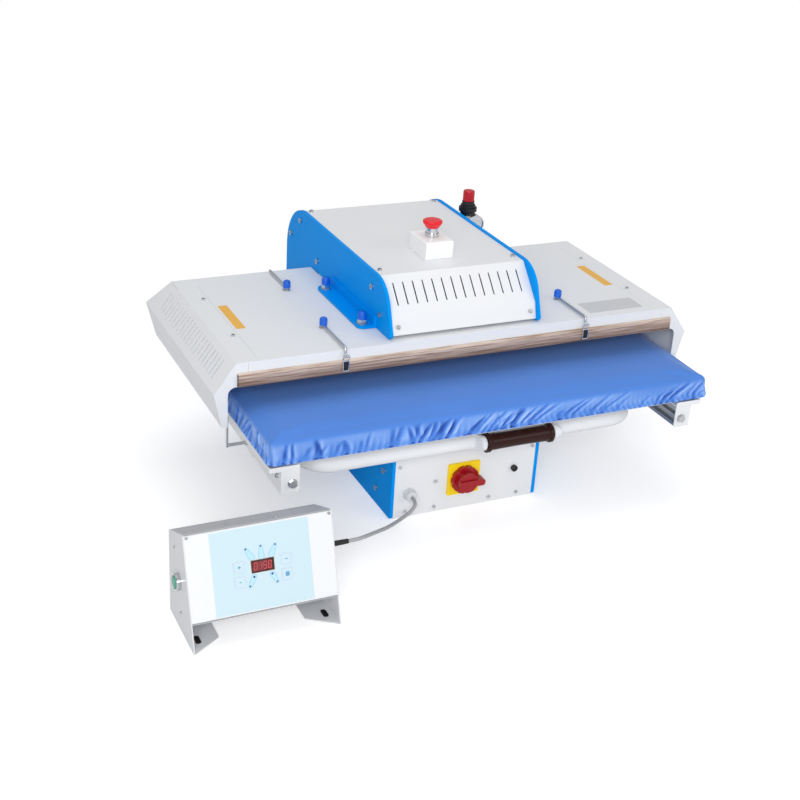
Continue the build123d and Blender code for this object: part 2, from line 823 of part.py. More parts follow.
def sheet_springs():
    """Slim extension springs from the posts to the head's front and rear edges, hooked at both ends."""
    radius = spring_diameter / 2
    level = head_top + radius + 1.5
    nose = head_front - radius - 0.35
    springs = []
    for side in (-1, 1):
        x = side * post_x
        for y, way in ((post_spots[0][1], -1), (post_spots[1][1], 1)):
            loop = Pos(x, y, level) * Torus(post_diameter / 2 + hook_wire + 0.1, hook_wire)
            loop += rod((x, y + way * (post_diameter / 2 + hook_wire), level), (0, way, 0), hook_wire, 5)
            first = y + way * (post_diameter / 2 + 5)
            if way > 0:
                body = rod((x, first, level), (0, 1, 0), radius, head_rear - 8 - first)
            else:
                path = FilletPolyline((x, first, level), (x, nose, level), (x, nose, head_top - 5), radius=4)
                body = sweep(Plane(origin=(x, first, level), z_dir=(0, -1, 0)) * Circle(radius), path=path)
                hook = FilletPolyline((x, nose, head_top - 4), (x, nose, clip_top - 4),
                                      (x, nose - 8, clip_top - 4), (x, nose - 8, clip_top + 1), radius=1.5)
                wire = Plane(origin=(x, nose, head_top - 4), z_dir=(0, 0, -1)) * Circle(hook_wire * 0.9)
                body += sweep(wire, path=hook)
            springs.append(body + loop)
    return Compound(children=springs)


def blue_caps():
    """Domed caps on the spring posts and on the hanger studs."""
    caps = []
    for x, y in post_spots:
        caps.append(domed_cap(x, y, head_top + 5.6, post_diameter / 2, post_cap_diameter / 2, cap_height))
    for side in (-1, 1):
        for y in (hanger_front, hanger_rear):
            caps.append(domed_cap(side * hanger_x, y, hanger_nut_top(), hanger_stud / 2,
                                  stud_cap_diameter / 2, cap_height))
    return Compound(children=caps)


def domed_cap(x, y, z, hole, radius, height):
    shell = rod((x, y, z), (0, 0, 1), radius, height)
    shell = fillet(shell.edges().group_by(Axis.Z)[-1], radius * 0.7)
    return shell - rod((x, y, z - 1), (0, 0, 1), hole + running_gap, height - 2.5)


def hanger_nut_top():
    return arm_bottom + hanger_thickness + 9.0


def angle_bracket():
    """Left hanger bracket: a foot over the head and a leg against the side plate."""
    low = arm_bottom
    y0, y1 = hanger_front - 18, hanger_rear + 18
    foot = outline([(-half_frame, y0), (-half_frame, y1), (-half_frame - hanger_foot, y1),
                    (-half_frame - hanger_foot, y0)], {2: 14, 3: 14})
    bracket = along_z(foot, low, low + hanger_thickness)
    bracket += block(-half_frame - hanger_thickness, -half_frame, y0, y1, low, low + hanger_leg)
    for y in (hanger_front, hanger_rear):
        bracket -= rod((-hanger_x, y, low - 1), (0, 0, 1), hanger_stud / 2 + running_gap,
                       hanger_thickness + 2)
        bracket -= screw_hole((-half_frame - hanger_thickness, y + 30, low + 13), (-1, 0, 0), 6,
                              hanger_thickness)
    return bracket


def head_studs():
    """Hanger studs from the heating plate up through the brackets, and the short spring posts."""
    studs = []
    for x, y in post_spots:
        stem = rod((x, y, head_top - 2.5), (0, 0, 1), post_diameter / 2, post_rise + 2.5)
        washer = rod((x, y, head_top), (0, 0, 1), 8, 1.2)
        studs.append(stem + washer + hexagon((x, y, head_top + 1.2), (0, 0, 1), 10, 2))
    low = arm_bottom
    for side in (-1, 1):
        for y in (hanger_front, hanger_rear):
            x = side * hanger_x
            stud = rod((x, y, core_top - 12), (0, 0, 1), hanger_stud / 2, hanger_nut_top() + 23 - core_top)
            upper = low + hanger_thickness
            stud += rod((x, y, upper), (0, 0, 1), 11, 1.5) + hexagon((x, y, upper + 1.5), (0, 0, 1), 16, 7.5)
            studs.append(stud)
    return Compound(children=studs)


def cover_front_points():
    """Upper cover's front in the YZ plane: lower edge, fold line, and top edge."""
    low = (arm_front + cover_setback, arm_bottom + 5)
    fold = (low[0] + cover_lean, low[1] + cover_fold_rise)
    return low, fold, (fold[0] + cover_slope_run, cover_top)


def upper_cover():
    """Cover between the side plates: folded front with a row of slots, top, and a return under the nose."""
    half = half_gap - fit_gap
    low, fold, high = cover_front_points()
    path = [(low[0] + 15, low[1]), low, fold, high, (cover_rear, cover_top)]
    cover = along_x(bent(path, -sheet), -half, half)
    tilt = math.degrees(math.atan2(high[0] - fold[0], high[1] - fold[1]))
    slots = []
    mid_y = fold[0] + (high[0] - fold[0]) * cover_slot_share
    mid_z = fold[1] + (high[1] - fold[1]) * cover_slot_share
    pitch = (frame_inner_width - 2 * cover_slot_margin) / (cover_slot_count - 1)
    for i in range(cover_slot_count):
        x = -half_gap + cover_slot_margin + i * pitch
        slots.append(Pos(x, mid_y, mid_z) * Rot(-tilt, 0, 0) * Box(cover_slot_width, 12, cover_slot_length))
    cover -= Compound(children=slots)
    for spot, way in cover_screws():
        cover -= screw_hole(spot, way, 5, sheet)
    return cover


def cover_screws():
    """Screws in the top of the upper cover and low on its front: spot and direction."""
    low, fold, high = cover_front_points()
    lean = Vector(low[1] - fold[1], fold[0] - low[0]).normalized()
    middle = (Vector(*low) + Vector(*fold)) * 0.5
    spots = []
    for side in (-1, 1):
        for y in (high[0] + 24, cover_rear - 10):
            spots.append(((side * (half_gap - 11), y, cover_top), (0, 0, 1)))
        spots.append(((side * (half_gap - 13), middle.X, middle.Y), (0, lean.X, lean.Y)))
    return spots


def rear_cover():
    """Sheet down the back of the column, from the upper cover to the base."""
    half = half_gap - fit_gap
    bend = plate_rear_round - cover_margin
    mid_y, mid_z = base_depth + 2 - plate_rear_round, arm_top - plate_rear_round
    path = [(cover_rear + 1, cover_top)]
    for angle in (68, 45, 22, 0):
        turn = math.radians(angle)
        path.append((mid_y + bend * math.cos(turn), mid_z + bend * math.sin(turn)))
    rear = mid_y + bend
    path.append((rear, base_height + 1))
    cover = along_x(bent(path, -sheet), -half, half)
    for i in range(3):
        z = base_height + rear_slot_low + i * rear_slot_pitch
        cover -= block(-rear_slot_length / 2, rear_slot_length / 2, rear - 6, rear + 6, z,
                       z + rear_slot_height)
    return cover


def hood_screw_spots():
    return [(side * (hood_top_half - 31), y) for side in (-1, 1) for y in (head_front + 115, head_rear - 111)]


def frame_screws():
    """Every socket screw of the fixed press: frame spacers, base panel, covers, hood and console."""
    screws = []
    for y, z in spacer_spots:
        for side in (-1, 1):
            screws.append(socket_screw((side * half_frame, y, z), (side, 0, 0), spacer_screw,
                                       plate_thickness + 12))
    screws += [socket_screw((x, 1.0, z), (0, -1, 0), 4, sheet + 4) for x, z in panel_screw_spots]
    screws += [socket_screw(spot, way, 5, sheet + 3) for spot, way in cover_screws()]
    screws += [socket_screw((x, y, head_top), (0, 0, 1), 4, sheet + 1) for x, y in hood_screw_spots()]
    small = console_case_screws() + console_front_screws() + console_side_screws()
    screws += [socket_screw(spot, way, console_screw, console_sheet + 3) for spot, way in small]
    return Compound(children=screws)


def drawer_screws():
    """Rail end bolts with washers, and the small screw in each side cover."""
    tab_outer = rail_inner + tab_width
    parts = []
    for side in (-1, 1):
        parts.append(washer_bolt((side * rail_center, buck_front, tab_bolt_z()), (0, -1, 0), tab_bolt, 28))
        parts.append(socket_screw((side * tab_outer, buck_front + 16, tray_bottom - 15), (side, 0, 0), 5, 5))
    return Compound(children=parts)


def switch_plate():
    half = switch_plate_size / 2
    face = Pos(switch_x, switch_z) * RectangleRounded(2 * half, 2 * half, 3)
    plate = along_y(face, 1.0 - switch_plate_thickness, 1.0)
    return plate - rod((switch_x, 3, switch_z), (0, -1, 0), 5 + running_gap, 12)


def switch_knob():
    """Round main-switch knob with a pointer grip; the pointer lies to the right at rest."""
    front = 1.0 - switch_plate_thickness - 0.5
    radius = switch_knob_diameter / 2
    knob = rod((switch_x, front, switch_z), (0, -1, 0), radius, 9)
    lobes = []
    for i in range(10):
        angle = math.radians(i * 36 + 18)
        reach = radius + 2.4
        spot = (switch_x + reach * math.cos(angle), front + 1, switch_z + reach * math.sin(angle))
        lobes.append(rod(spot, (0, -1, 0), 4, 12))
    knob -= Compound(children=lobes)
    knob += rod((switch_x, front - 8, switch_z), (0, -1, 0), radius * 0.72, switch_knob_height - 12)
    grip = Pos(switch_x + 6, switch_z) * RectangleRounded(radius * 2 - 2, 13, 5)
    knob += along_y(grip, front - switch_knob_height, front - 6)
    shaft = rod((switch_x, front - 1, switch_z), (0, 1, 0), 5, switch_plate_thickness + 13)
    return knob + shaft


def fuse_holder():
    cap = rod((fuse_x, 1.0, fuse_z), (0, -1, 0), 6.5, 7)
    cap = chamfer(cap.edges().group_by(Axis.Y)[0], 1.0)
    cap -= block(fuse_x - 4.5, fuse_x + 4.5, -8, -5, fuse_z - 0.8, fuse_z + 0.8)
    return cap + rod((fuse_x, 0.5, fuse_z), (0, 1, 0), 5, 26)


def cable_gland():
    """Gland of the control cable: hexagon body, clamp nut and a bore for the cable."""
    body = hexagon((gland_x, 1.0, gland_z), (0, -1, 0), 22, 7)
    nut = rod((gland_x, -6.0, gland_z), (0, -1, 0), 11, 11)
    nut = fillet(nut.edges().group_by(Axis.Y)[0], 4)
    stem = rod((gland_x, 0, gland_z), (0, 1, 0), 8, 12)
    gland = body + nut + stem
    return gland - rod((gland_x, -16.5, gland_z), (0, 1, 0), cable_diameter / 2 + 0.4, 40)


def estop_housing():
    x0, x1 = estop_x - estop_box_width / 2, estop_x + estop_box_width / 2
    y0, y1 = estop_y - estop_box_depth / 2, estop_y + estop_box_depth / 2
    house = block(x0, x1, y0, y1, cover_top, cover_top + estop_box_height)
    top_edges = house.edges().group_by(Axis.Z)[-1]
    house = fillet(top_edges, 3)
    house -= block(x0 + 2, x1 - 2, y0 + 2, y1 - 2, cover_top - 1, cover_top + estop_box_height - 2.5)
    return house - rod((estop_x, estop_y, cover_top), (0, 0, 1), 11 + running_gap, estop_box_height + 5)


def estop_collar():
    """Threaded barrel of the stop button with its bright bezel ring."""
    top = cover_top + estop_box_height
    collar = rod((estop_x, estop_y, cover_top + 6), (0, 0, 1), 11, estop_box_height - 6)
    collar += rod((estop_x, estop_y, top), (0, 0, 1), estop_barrel_diameter / 2 + 2, 7)
    collar += rod((estop_x, estop_y, top), (0, 0, 1), estop_barrel_diameter / 2, estop_barrel)
    return collar - rod((estop_x, estop_y, cover_top), (0, 0, 1), 6 + running_gap, 80)


def estop_button():
    """Red mushroom that closes over its barrel; it is pushed down to stop and twisted to release."""
    base = cover_top + estop_box_height + estop_barrel - 0.5
    rim = estop_diameter / 2
    mouth = estop_barrel_diameter / 2 + fit_gap
    pocket = base + estop_travel + 1.0
    profile = outline([
        (0, pocket), (mouth, pocket), (mouth, base), (mouth + 1, base), (rim, base + estop_height * 0.6),
        (rim, base + estop_height * 0.8), (rim - 2, base + estop_height * 0.92), (0, base + estop_height),
    ], {4: 1.5, 5: 1.0, 6: 1.5})
    cap = Pos(estop_x, estop_y, 0) * revolve(Plane.XZ * profile, Axis.Z)
    notches = []
    for i in range(24):
        angle = math.radians(i * 15)
        spot = (estop_x + (rim + 0.7) * math.cos(angle), estop_y + (rim + 0.7) * math.sin(angle), base + 5)
        notches.append(rod(spot, (0, 0, 1), 1.3, estop_height))
    cap -= Compound(children=notches)
    return cap + rod((estop_x, estop_y, cover_top + 14), (0, 0, 1), 6, pocket - cover_top - 13)


def regulator():
    """Air regulator body on a bracket at the right side plate."""
    x, y = regulator_x, regulator_y
    low, high = cover_top - regulator_drop, cover_top + regulator_rise
    half = regulator_body / 2
    body = block(x - half * 0.8, x + half * 0.8, y - half * 0.8, y + half * 0.8, low, low + 34)
    body += rod((x, y, low + 30), (0, 0, 1), half * 0.85, high - low - 38)
    body += rod((x, y, low + 30), (0, 0, 1), regulator_knob / 2 + 1, high - low - 30)
    body += rod((x, y, high - 21.5), (0, 0, 1), regulator_ring / 2, 8)
    bowl = rod((x, y, low), (0, 0, -1), 11, 26)
    body += fillet(bowl.edges().group_by(Axis.Z)[0], 5)
    bracket = block(half_frame, x - half * 0.8, y - 14, y + 14, low + 8, low + 12)
    bracket += block(half_frame, half_frame + 4, y - 14, y + 14, low - 14, low + 12)
    body += bracket
    port_end = y + half * 0.8 + 15
    body += rod((x, port_end, low + 16), (0, -1, 0), 6.5, 16)
    body -= rod((x, port_end + 1, low + 16), (0, -1, 0), air_tube / 2 + running_gap, port_depth + 1)
    body += rod((x, y - half * 0.8 + 1, low + 24), (0, -1, 0), 5, 8)
    return body - rod((x, y, high - 14), (0, 0, 1), 4 + running_gap, 20)


def regulator_knob_piece():
    x, y = regulator_x, regulator_y
    low = cover_top + regulator_rise + 0.5
    radius = regulator_knob / 2
    knob = rod((x, y, low), (0, 0, 1), radius, regulator_knob_height)
    knob = fillet(knob.edges().group_by(Axis.Z)[-1], 3)
    ribs = []
    for i in range(18):
        angle = math.radians(i * 20)
        ribs.append(rod((x + (radius + 0.5) * math.cos(angle), y + (radius + 0.5) * math.sin(angle), low - 1),
                        (0, 0, 1), 1.2, regulator_knob_height - 3))
    knob -= Compound(children=ribs)
    return knob + rod((x, y, low - 10), (0, 0, 1), 4, 11)


def regulator_gauge():
    """Pressure gauge facing forward, with its chromed rim."""
    x, y = regulator_x, regulator_y
    face_y = y - regulator_body * 0.4 - 7
    z = cover_top - regulator_drop + 24
    case = rod((x, face_y, z), (0, -1, 0), 20, 18)
    return case - rod((x, face_y - 16, z), (0, -1, 0), 17.5, 4)


def console_points():
    """Corners of the console case in the YZ plane: front bottom, front top, rear top, rear bottom."""
    front_low = Vector(console_front_bottom_y, console_front_bottom_z)
    front_high = Vector(console_front_top_y, console_front_top_z)
    rear_high = Vector(console_rear_y, console_rear_top_z)
    rear_low = Vector(console_rear_y, console_front_bottom_z)
    return front_low, front_high, rear_high, rear_low


def console_case():
    """Folded case: top, rear and floor of the console, a little inside the side plates' edges."""
    low, high, rear_high, rear_low = [(p.X, p.Y) for p in console_points()]
    path = [high, (rear_high[0] - 1, rear_high[1]), (rear_low[0] - 1, rear_low[1]), low]
    case = along_x(bent(path, -sheet), console_left + console_sheet, console_right - console_sheet)
    for spot, way in console_case_screws():
        case -= screw_hole(spot, way, console_screw, sheet)
    return case


def console_case_screws():
    """Two screws on the sloping top of the console."""
    low, high, rear_high, rear_low = console_points()
    run = rear_high - high
    normal = Vector(-run.Y, run.X).normalized()
    spots = []
    for share in (0.313, 0.648):
        spot = high + run * 0.3
        spots.append(((console_left + console_width * share, spot.X, spot.Y), (0, normal.X, normal.Y)))
    return spots


def console_front_screws():
    """Two screws in the upper corners of the console's front plate."""
    low, high, rear_high, rear_low = console_points()
    rise = (high - low).normalized()
    spot = high - rise * 6
    return [((x, spot.X, spot.Y), (0, -rise.Y, rise.X)) for x in (console_left + 6, console_right - 6)]


def console_side_screws():
    """Screws through the left side plate into the case."""
    low, high, rear_high, rear_low = console_points()
    spots = [(console_left, high.X + 40, high.Y - 45), (console_left, low.X + 53.5, low.Y - 8.5)]
    return [(spot, (-1, 0, 0)) for spot in spots]


def console_front():
    """White front plate that fits inside the edges of the folded case."""
    low, high, rear_high, rear_low = console_points()
    rise = (high - low).normalized()
    back = Vector(rise.Y, -rise.X)
    a = low + rise * (sheet + 1.2)
    b = high - rise * (sheet + 0.8)
    points = [(p.X, p.Y) for p in (a, b, b + back * 2, a + back * 2)]
    plate = along_x(outline(points), console_left + console_sheet, console_right - console_sheet)
    for spot, way in console_front_screws():
        plate -= screw_hole(spot, way, console_screw, 2)
    return plate


def console_membrane():
    """Keypad foil with four raised keys, lying on the front plate."""
    low, high, rear_high, rear_low = console_points()
    rise = (high - low).normalized()
    out = Vector(-rise.Y, rise.X)
    start = low + rise * 5.0
    end = start + rise * membrane_height
    left = console_left + 42.5
    points = [(p.X, p.Y) for p in (start, end, end + out * 0.6, start + out * 0.6)]
    foil = along_x(outline(points), left, left + membrane_width)
    for down, across in ((69, 87.5), (94, 87.5), (68.5, 168), (94, 168)):
        spot = high - rise * down
        a, b = spot - rise * 10, spot + rise * 10
        key = [(p.X, p.Y) for p in (a, b, b + out * 1.1, a + out * 1.1)]
        foil += along_x(outline(key), console_left + across - 10, console_left + across + 10)
    return foil


def console_side():
    """Left console side: a plate that ends in a slotted foot flange on the table."""
    low, high, rear_high, rear_low = console_points()
    slope = (high.X - low.X) / (high.Y - low.Y)
    tip = low.X - slope * low.Y
    points = [(rear_high.X, 0), (rear_high.X, rear_high.Y), (high.X, high.Y), (tip, 0)]
    side = along_x(outline(points, {1: 4, 2: 4}), console_left, console_left + console_sheet)
    foot = outline([
        (console_left, tip), (console_left + console_foot_width, tip + 34),
        (console_left + console_foot_width, rear_high.X - 8), (console_left, rear_high.X),
    ], {1: 6})
    side += along_z(foot, 0, console_sheet)
    slot = Pos(console_left + 16, tip + 37) * Rot(0, 0, 90) * SlotOverall(20, 8)
    return side - along_z(slot, -1, console_sheet + 1)


def console_side_pair():
    left = console_side()
    left -= rod((console_left - 1, start_y, start_z), (1, 0, 0), 11 + running_gap, console_sheet + 2)
    for spot, way in console_side_screws():
        left -= screw_hole(spot, way, console_screw, console_sheet)
    middle = (console_left + console_right) / 2
    right = Pos(2 * middle, 0, 0) * mirrored(console_side())
    right -= rod((console_right + 1, console_port_y, console_port_z), (-1, 0, 0), 6 + running_gap,
                 console_sheet + 2)
    return left, right


def start_ring_piece():
    floor = 2.0
    ring = rod((console_left, start_y, start_z), (-1, 0, 0), start_ring / 2, start_ring_height)
    ring = fillet(ring.edges().group_by(Axis.X)[0], 2.0)
    ring += rod((console_left - 0.5, start_y, start_z), (1, 0, 0), 11, 22)
    ring -= rod((console_left - floor, start_y, start_z), (-1, 0, 0), start_button / 2 + running_gap,
                start_ring_height)
    return ring - rod((console_left - 5, start_y, start_z), (1, 0, 0), 5 + running_gap, 40)


def start_button_piece():
    rear = 2.0 + start_travel + 0.5
    cap = rod((console_left - rear, start_y, start_z), (-1, 0, 0), start_button / 2, start_ring_height - 4)
    cap = fillet(cap.edges().group_by(Axis.X)[0], 1.2)
    return cap + rod((console_left - rear - 1, start_y, start_z), (1, 0, 0), 5, 20)


def console_gland():
    """Tapered strain relief on the console's right side, bored for the cable."""
    sleeve = Solid.make_cone(5.6, 4.4, relief_length, Plane((console_right, console_port_y, console_port_z),
                                                            z_dir=(1, 0, 0)))
    stem = rod((console_right + 0.5, console_port_y, console_port_z), (-1, 0, 0), 6, 12)
    gland = sleeve + stem
    return gland - rod((console_right + relief_length - 0.5, console_port_y, console_port_z), (-1, 0, 0),
                       cable_diameter / 2 + 0.4, 60)


def electrics_module():
    """Transformer, relay board and terminal strip on a tray at the rear of the base."""
    rear = base_depth - 64
    front = rear - module_depth
    floor = sheet + 2
    tray = block(-half_gap + 20, half_gap - 20, front, rear, sheet, floor)
    left = -half_gap + 41
    middle = left + transformer_width / 2
    core_y = front + 30
    transformer = block(left, left + transformer_width, core_y, core_y + transformer_depth, floor,
                        floor + transformer_height)
    coil = rod((middle, core_y + transformer_depth / 2, floor + transformer_height), (0, 0, 1), 26, 8)
    board_y = front + 20
    board_z = floor + 10
    board = block(0, board_width, board_y, board_y + board_depth, board_z, board_z + 2)
    feet = [rod((x, y, floor), (0, 0, 1), 3, 10) for x in (8, board_width - 8)
            for y in (board_y + 8, board_y + board_depth - 8)]
    relays = [block(12 + i * relay_pitch, 12 + i * relay_pitch + relay_size, board_y + 20,
                    board_y + 20 + relay_size, board_z + 2, board_z + 2 + relay_size) for i in range(4)]
    strip = block(10, board_width - 10, board_y + board_depth - 60, board_y + board_depth - 44, board_z + 2,
                  board_z + 18)
    unit = tray + transformer + coil + board + strip
    for piece in feet + relays:
        unit += piece
    return unit


def air_valve():
    """Solenoid valve that feeds the lift cylinder, on the inner face of the right side plate."""
    inner = half_gap - valve_depth
    front = lift_center_y + 27
    top = valve_bottom + valve_height
    body = block(inner, half_gap, front, front + valve_width, valve_bottom, top)
    body += rod((half_gap - valve_depth / 2, front + 13, top), (0, 0, 1), 10, 30)
    for y in (front + 23, front + 43):
        body += rod((inner, y, valve_bottom + valve_height / 2), (-1, 0, 0), 5, 9)
    return body


# Route of the control cable, from the gland on the base to the console, in the builders' frame.
# It drops out of the gland, hangs clear of the table and climbs to the console's right side.
cable_radius = cable_diameter / 2
cable_route = [
    (gland_x, -17.0, gland_z),
    (gland_x, -36.0, gland_z),
    (-134.0, -43.0, 37.0),
    (-153.0, -48.0, 31.0),
    (-178.0, -66.0, 34.0),
    (-205.0, -93.0, 46.0),
    (-232.0, -120.0, 60.5),
    (-260.0, -145.0, 74.0),
    (-282.0, -162.0, 82.0),
    (console_right + relief_length + 18.0, console_port_y, console_port_z),
    (console_right + relief_length, console_port_y, console_port_z),
]


def cable_radii():
    """Largest arc that each corner's two runs allow."""
    points = [Vector(*p) for p in cable_route]
    radii = []
    for before, here, after in zip(points, points[1:], points[2:]):
        turn = math.radians((here - before).get_angle(after - here))
        run = min((here - before).length, (after - here).length)
        radii.append(0.45 * run / math.tan(turn / 2))
    return radii


def signal_cable():
    radii = cable_radii()
    path = FilletPolyline(*cable_route, radius=radii)
    first = Vector(*cable_route[1]) - Vector(*cable_route[0])
    tube = sweep(Plane(origin=cable_route[0], z_dir=first) * Circle(cable_radius), path=path)
    length = path.length
    share = tube.volume / (math.pi * cable_radius ** 2 * length)
    print("cable radii", [round(r, 1) for r in radii])
    print("cable length", round(length, 1), "volume ratio", round(share, 4))
    return tube


def main():
    os.makedirs("parts", exist_ok=True)
    left_plate = side_plate()
    save("side_plate_left", left_plate)
    save("side_plate_right", mirrored(left_plate))
    save("frame_spacers", frame_spacers())
    save("base_pan", base_pan())
    save("base_top_plate", base_top_plate())
    save("lift_cylinder", lift_cylinder())
    save("electrics_module", electrics_module())
    save("air_valve", air_valve())
    save("upper_cover", upper_cover())
    save("rear_cover", rear_cover())
    save("frame_screws", frame_screws())
    bracket = angle_bracket()
    save("angle_bracket_left", bracket)
    save("angle_bracket_right", mirrored(bracket))
    save("head_studs", head_studs())
    save("blue_caps", blue_caps())
    save("head_top_panel", head_top_panel())
    side_cover = head_side_cover()
    save("head_side_cover_left", side_cover)
    save("head_side_cover_right", mirrored(side_cover))
    skirt = head_rear_cover()
    save("head_rear_cover_left", skirt)
    save("head_rear_cover_right", mirrored(skirt))
    save("heating_plate", heating_plate())
    save("heating_elements", heating_elements())
    save("insulation_blanket", insulation_blanket())
    save("release_sheet", release_sheet())
    save("sheet_clips", sheet_clips())
    save("sheet_springs", sheet_springs())
    save("limit_switch", limit_switch())
    save("piston_rod", piston_rod())
    save("guide_posts", guide_posts())
    save("lift_frame", lift_frame())
    save("glide_blocks", glide_blocks())
    rail = drawer_rail()
    save("drawer_rail_left", rail)
    save("drawer_rail_right", mirrored(rail))
    tab = rail_tab()
    save("rail_tabs", Compound(children=[tab, mirrored(tab)]))
    save("drawer_screws", drawer_screws())
    save("trip_arm", trip_arm())
    save("buck_tray", buck_tray())
    save("buck_pad", buck_pad())
    save("bow_tube", bow_tube())
    save("handle_bar", handle_bar())
    save("handle_grip", handle_grip())
    save("switch_plate", switch_plate())
    save("switch_knob", switch_knob())
    save("fuse_holder", fuse_holder())
    save("cable_gland", cable_gland())
    save("estop_housing", estop_housing())
    save("estop_collar", estop_collar())
    save("estop_button", estop_button())
    save("regulator_body", regulator())
    save("regulator_knob", regulator_knob_piece())
    save("regulator_gauge", regulator_gauge())
    save("console_case", console_case())
    save("console_front", console_front())
    save("console_membrane", console_membrane())
    left_side, right_side = console_side_pair()
    save("console_side_left", left_side)
    save("console_side_right", right_side)
    save("start_ring", start_ring_piece())
    save("start_button", start_button_piece())
    save("console_gland", console_gland())
    save("signal_cable", signal_cable())
    print(len(made), "nodes written")


main()
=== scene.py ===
# Flatbed fusing press: the finishes, the padded buck, the cable and the printed faces.
# Sizes are metres, or millimetres times mm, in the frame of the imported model: x right, y back, z up.
import json
import math
import random

import bpy
import numpy as np
from mathutils import Matrix, Vector

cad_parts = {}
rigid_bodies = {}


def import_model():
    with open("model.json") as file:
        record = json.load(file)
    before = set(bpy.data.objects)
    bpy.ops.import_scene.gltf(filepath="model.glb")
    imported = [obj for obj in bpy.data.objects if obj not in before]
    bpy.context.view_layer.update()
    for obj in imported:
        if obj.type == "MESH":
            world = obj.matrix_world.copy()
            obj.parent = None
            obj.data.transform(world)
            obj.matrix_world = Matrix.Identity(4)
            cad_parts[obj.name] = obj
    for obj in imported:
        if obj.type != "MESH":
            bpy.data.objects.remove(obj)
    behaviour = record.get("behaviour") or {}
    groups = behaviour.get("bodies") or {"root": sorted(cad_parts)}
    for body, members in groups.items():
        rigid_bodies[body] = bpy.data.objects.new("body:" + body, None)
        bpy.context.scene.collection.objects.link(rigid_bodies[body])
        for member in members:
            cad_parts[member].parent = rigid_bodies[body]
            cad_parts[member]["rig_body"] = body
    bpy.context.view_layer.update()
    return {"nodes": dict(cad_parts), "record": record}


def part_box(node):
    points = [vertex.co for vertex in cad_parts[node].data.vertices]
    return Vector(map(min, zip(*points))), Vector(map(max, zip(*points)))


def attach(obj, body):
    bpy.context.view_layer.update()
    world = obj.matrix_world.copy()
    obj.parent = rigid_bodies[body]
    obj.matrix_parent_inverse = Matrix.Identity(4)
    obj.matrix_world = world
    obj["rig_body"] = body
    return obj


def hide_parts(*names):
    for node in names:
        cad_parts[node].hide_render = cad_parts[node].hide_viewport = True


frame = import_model()
mm = 0.001
random.seed(7)


# Camera at the photograph's place
cameraSettings = {
    "azimuth": -26.06, "elevation": 25.92, "roll": 3.70,
    "place": (-1.1341, -2.3013, 1.3396), "lens": 61.39, "sensor": 36.0,
}


def makeCamera(settings):
    az, el, roll = (math.radians(settings[key]) for key in ("azimuth", "elevation", "roll"))
    back = Vector((math.sin(az) * math.cos(el), -math.cos(az) * math.cos(el), math.sin(el)))
    right = Vector((math.cos(az), math.sin(az), 0))
    up = back.cross(right)
    turnedRight = right * math.cos(roll) + up * math.sin(roll)
    turnedUp = up * math.cos(roll) - right * math.sin(roll)
    turn = Matrix((turnedRight, turnedUp, back)).transposed().to_4x4()
    data = bpy.data.cameras.new("pressCamera")
    data.lens = settings["lens"]
    data.sensor_width = settings["sensor"]
    data.clip_end = 50
    camera = bpy.data.objects.new("pressCamera", data)
    camera.matrix_world = Matrix.Translation(settings["place"]) @ turn
    bpy.context.scene.collection.objects.link(camera)
    bpy.context.scene.camera = camera


makeCamera(cameraSettings)


# Small helpers for nodes, selection and finished pieces
def toLinear(hexColour):
    parts = [int(hexColour[i:i + 2], 16) / 255 for i in (1, 3, 5)]
    return [p / 12.92 if p <= 0.04045 else ((p + 0.055) / 1.055) ** 2.4 for p in parts] + [1.0]


def addNode(material, kind, settings=None, links=None):
    node = material.node_tree.nodes.new(kind)
    for key, value in (settings or {}).items():
        if isinstance(key, str) and hasattr(node, key):
            setattr(node, key, value)
    for key, value in (settings or {}).items():
        if not (isinstance(key, str) and hasattr(node, key)):
            node.inputs[key].default_value = value
    for key, source in (links or {}).items():
        material.node_tree.links.new(source, node.inputs[key])
    return node


def newMaterial(name):
    material = bpy.data.materials.new(name)
    material.use_nodes = True
    material.node_tree.nodes.clear()
    return material


def finishMaterial(material, shader):
    output = addNode(material, "ShaderNodeOutputMaterial")
    material.node_tree.links.new(shader.outputs[0], output.inputs["Surface"])
    return material


def deselectAll():
    if bpy.context.object and bpy.context.object.mode != "OBJECT":
        bpy.ops.object.mode_set(mode="OBJECT")
    bpy.ops.object.select_all(action="DESELECT")


def pick(piece):
    deselectAll()
    piece.select_set(True)
    bpy.context.view_layer.objects.active = piece


def editMode(piece, kind="FACE"):
    pick(piece)
    bpy.ops.object.mode_set(mode="EDIT")
    bpy.ops.mesh.select_mode(type=kind)
    bpy.ops.mesh.select_all(action="DESELECT")


def selectWhere(piece, test, kind="FACE"):
    # The test takes a face's centre and normal, or an edge's two ends
    editMode(piece, kind)
    bpy.ops.object.mode_set(mode="OBJECT")
    mesh = piece.data
    if kind == "FACE":
        for face in mesh.polygons:
            face.select = bool(test(face.center, face.normal))
    else:
        for edge in mesh.edges:
            a, b = (mesh.vertices[i].co for i in edge.vertices)
            edge.select = bool(test(a, b))
    bpy.ops.object.mode_set(mode="EDIT")


def settle(piece):
    pick(piece)
    bpy.ops.object.transform_apply(location=True, rotation=True, scale=True)


def smooth(piece, angle=35):
    pick(piece)
    bpy.ops.object.shade_smooth_by_angle(angle=math.radians(angle))


def applyAll(piece):
    pick(piece)
    for modifier in list(piece.modifiers):
        bpy.ops.object.modifier_apply(modifier=modifier.name)


def finishPiece(piece, name, body, material, stoodFor=()):
    piece.name = name
    piece.data.name = name
    piece.data.materials.clear()
    piece.data.materials.append(material)
    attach(piece, body)
    if stoodFor:
        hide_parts(*stoodFor)
    return piece


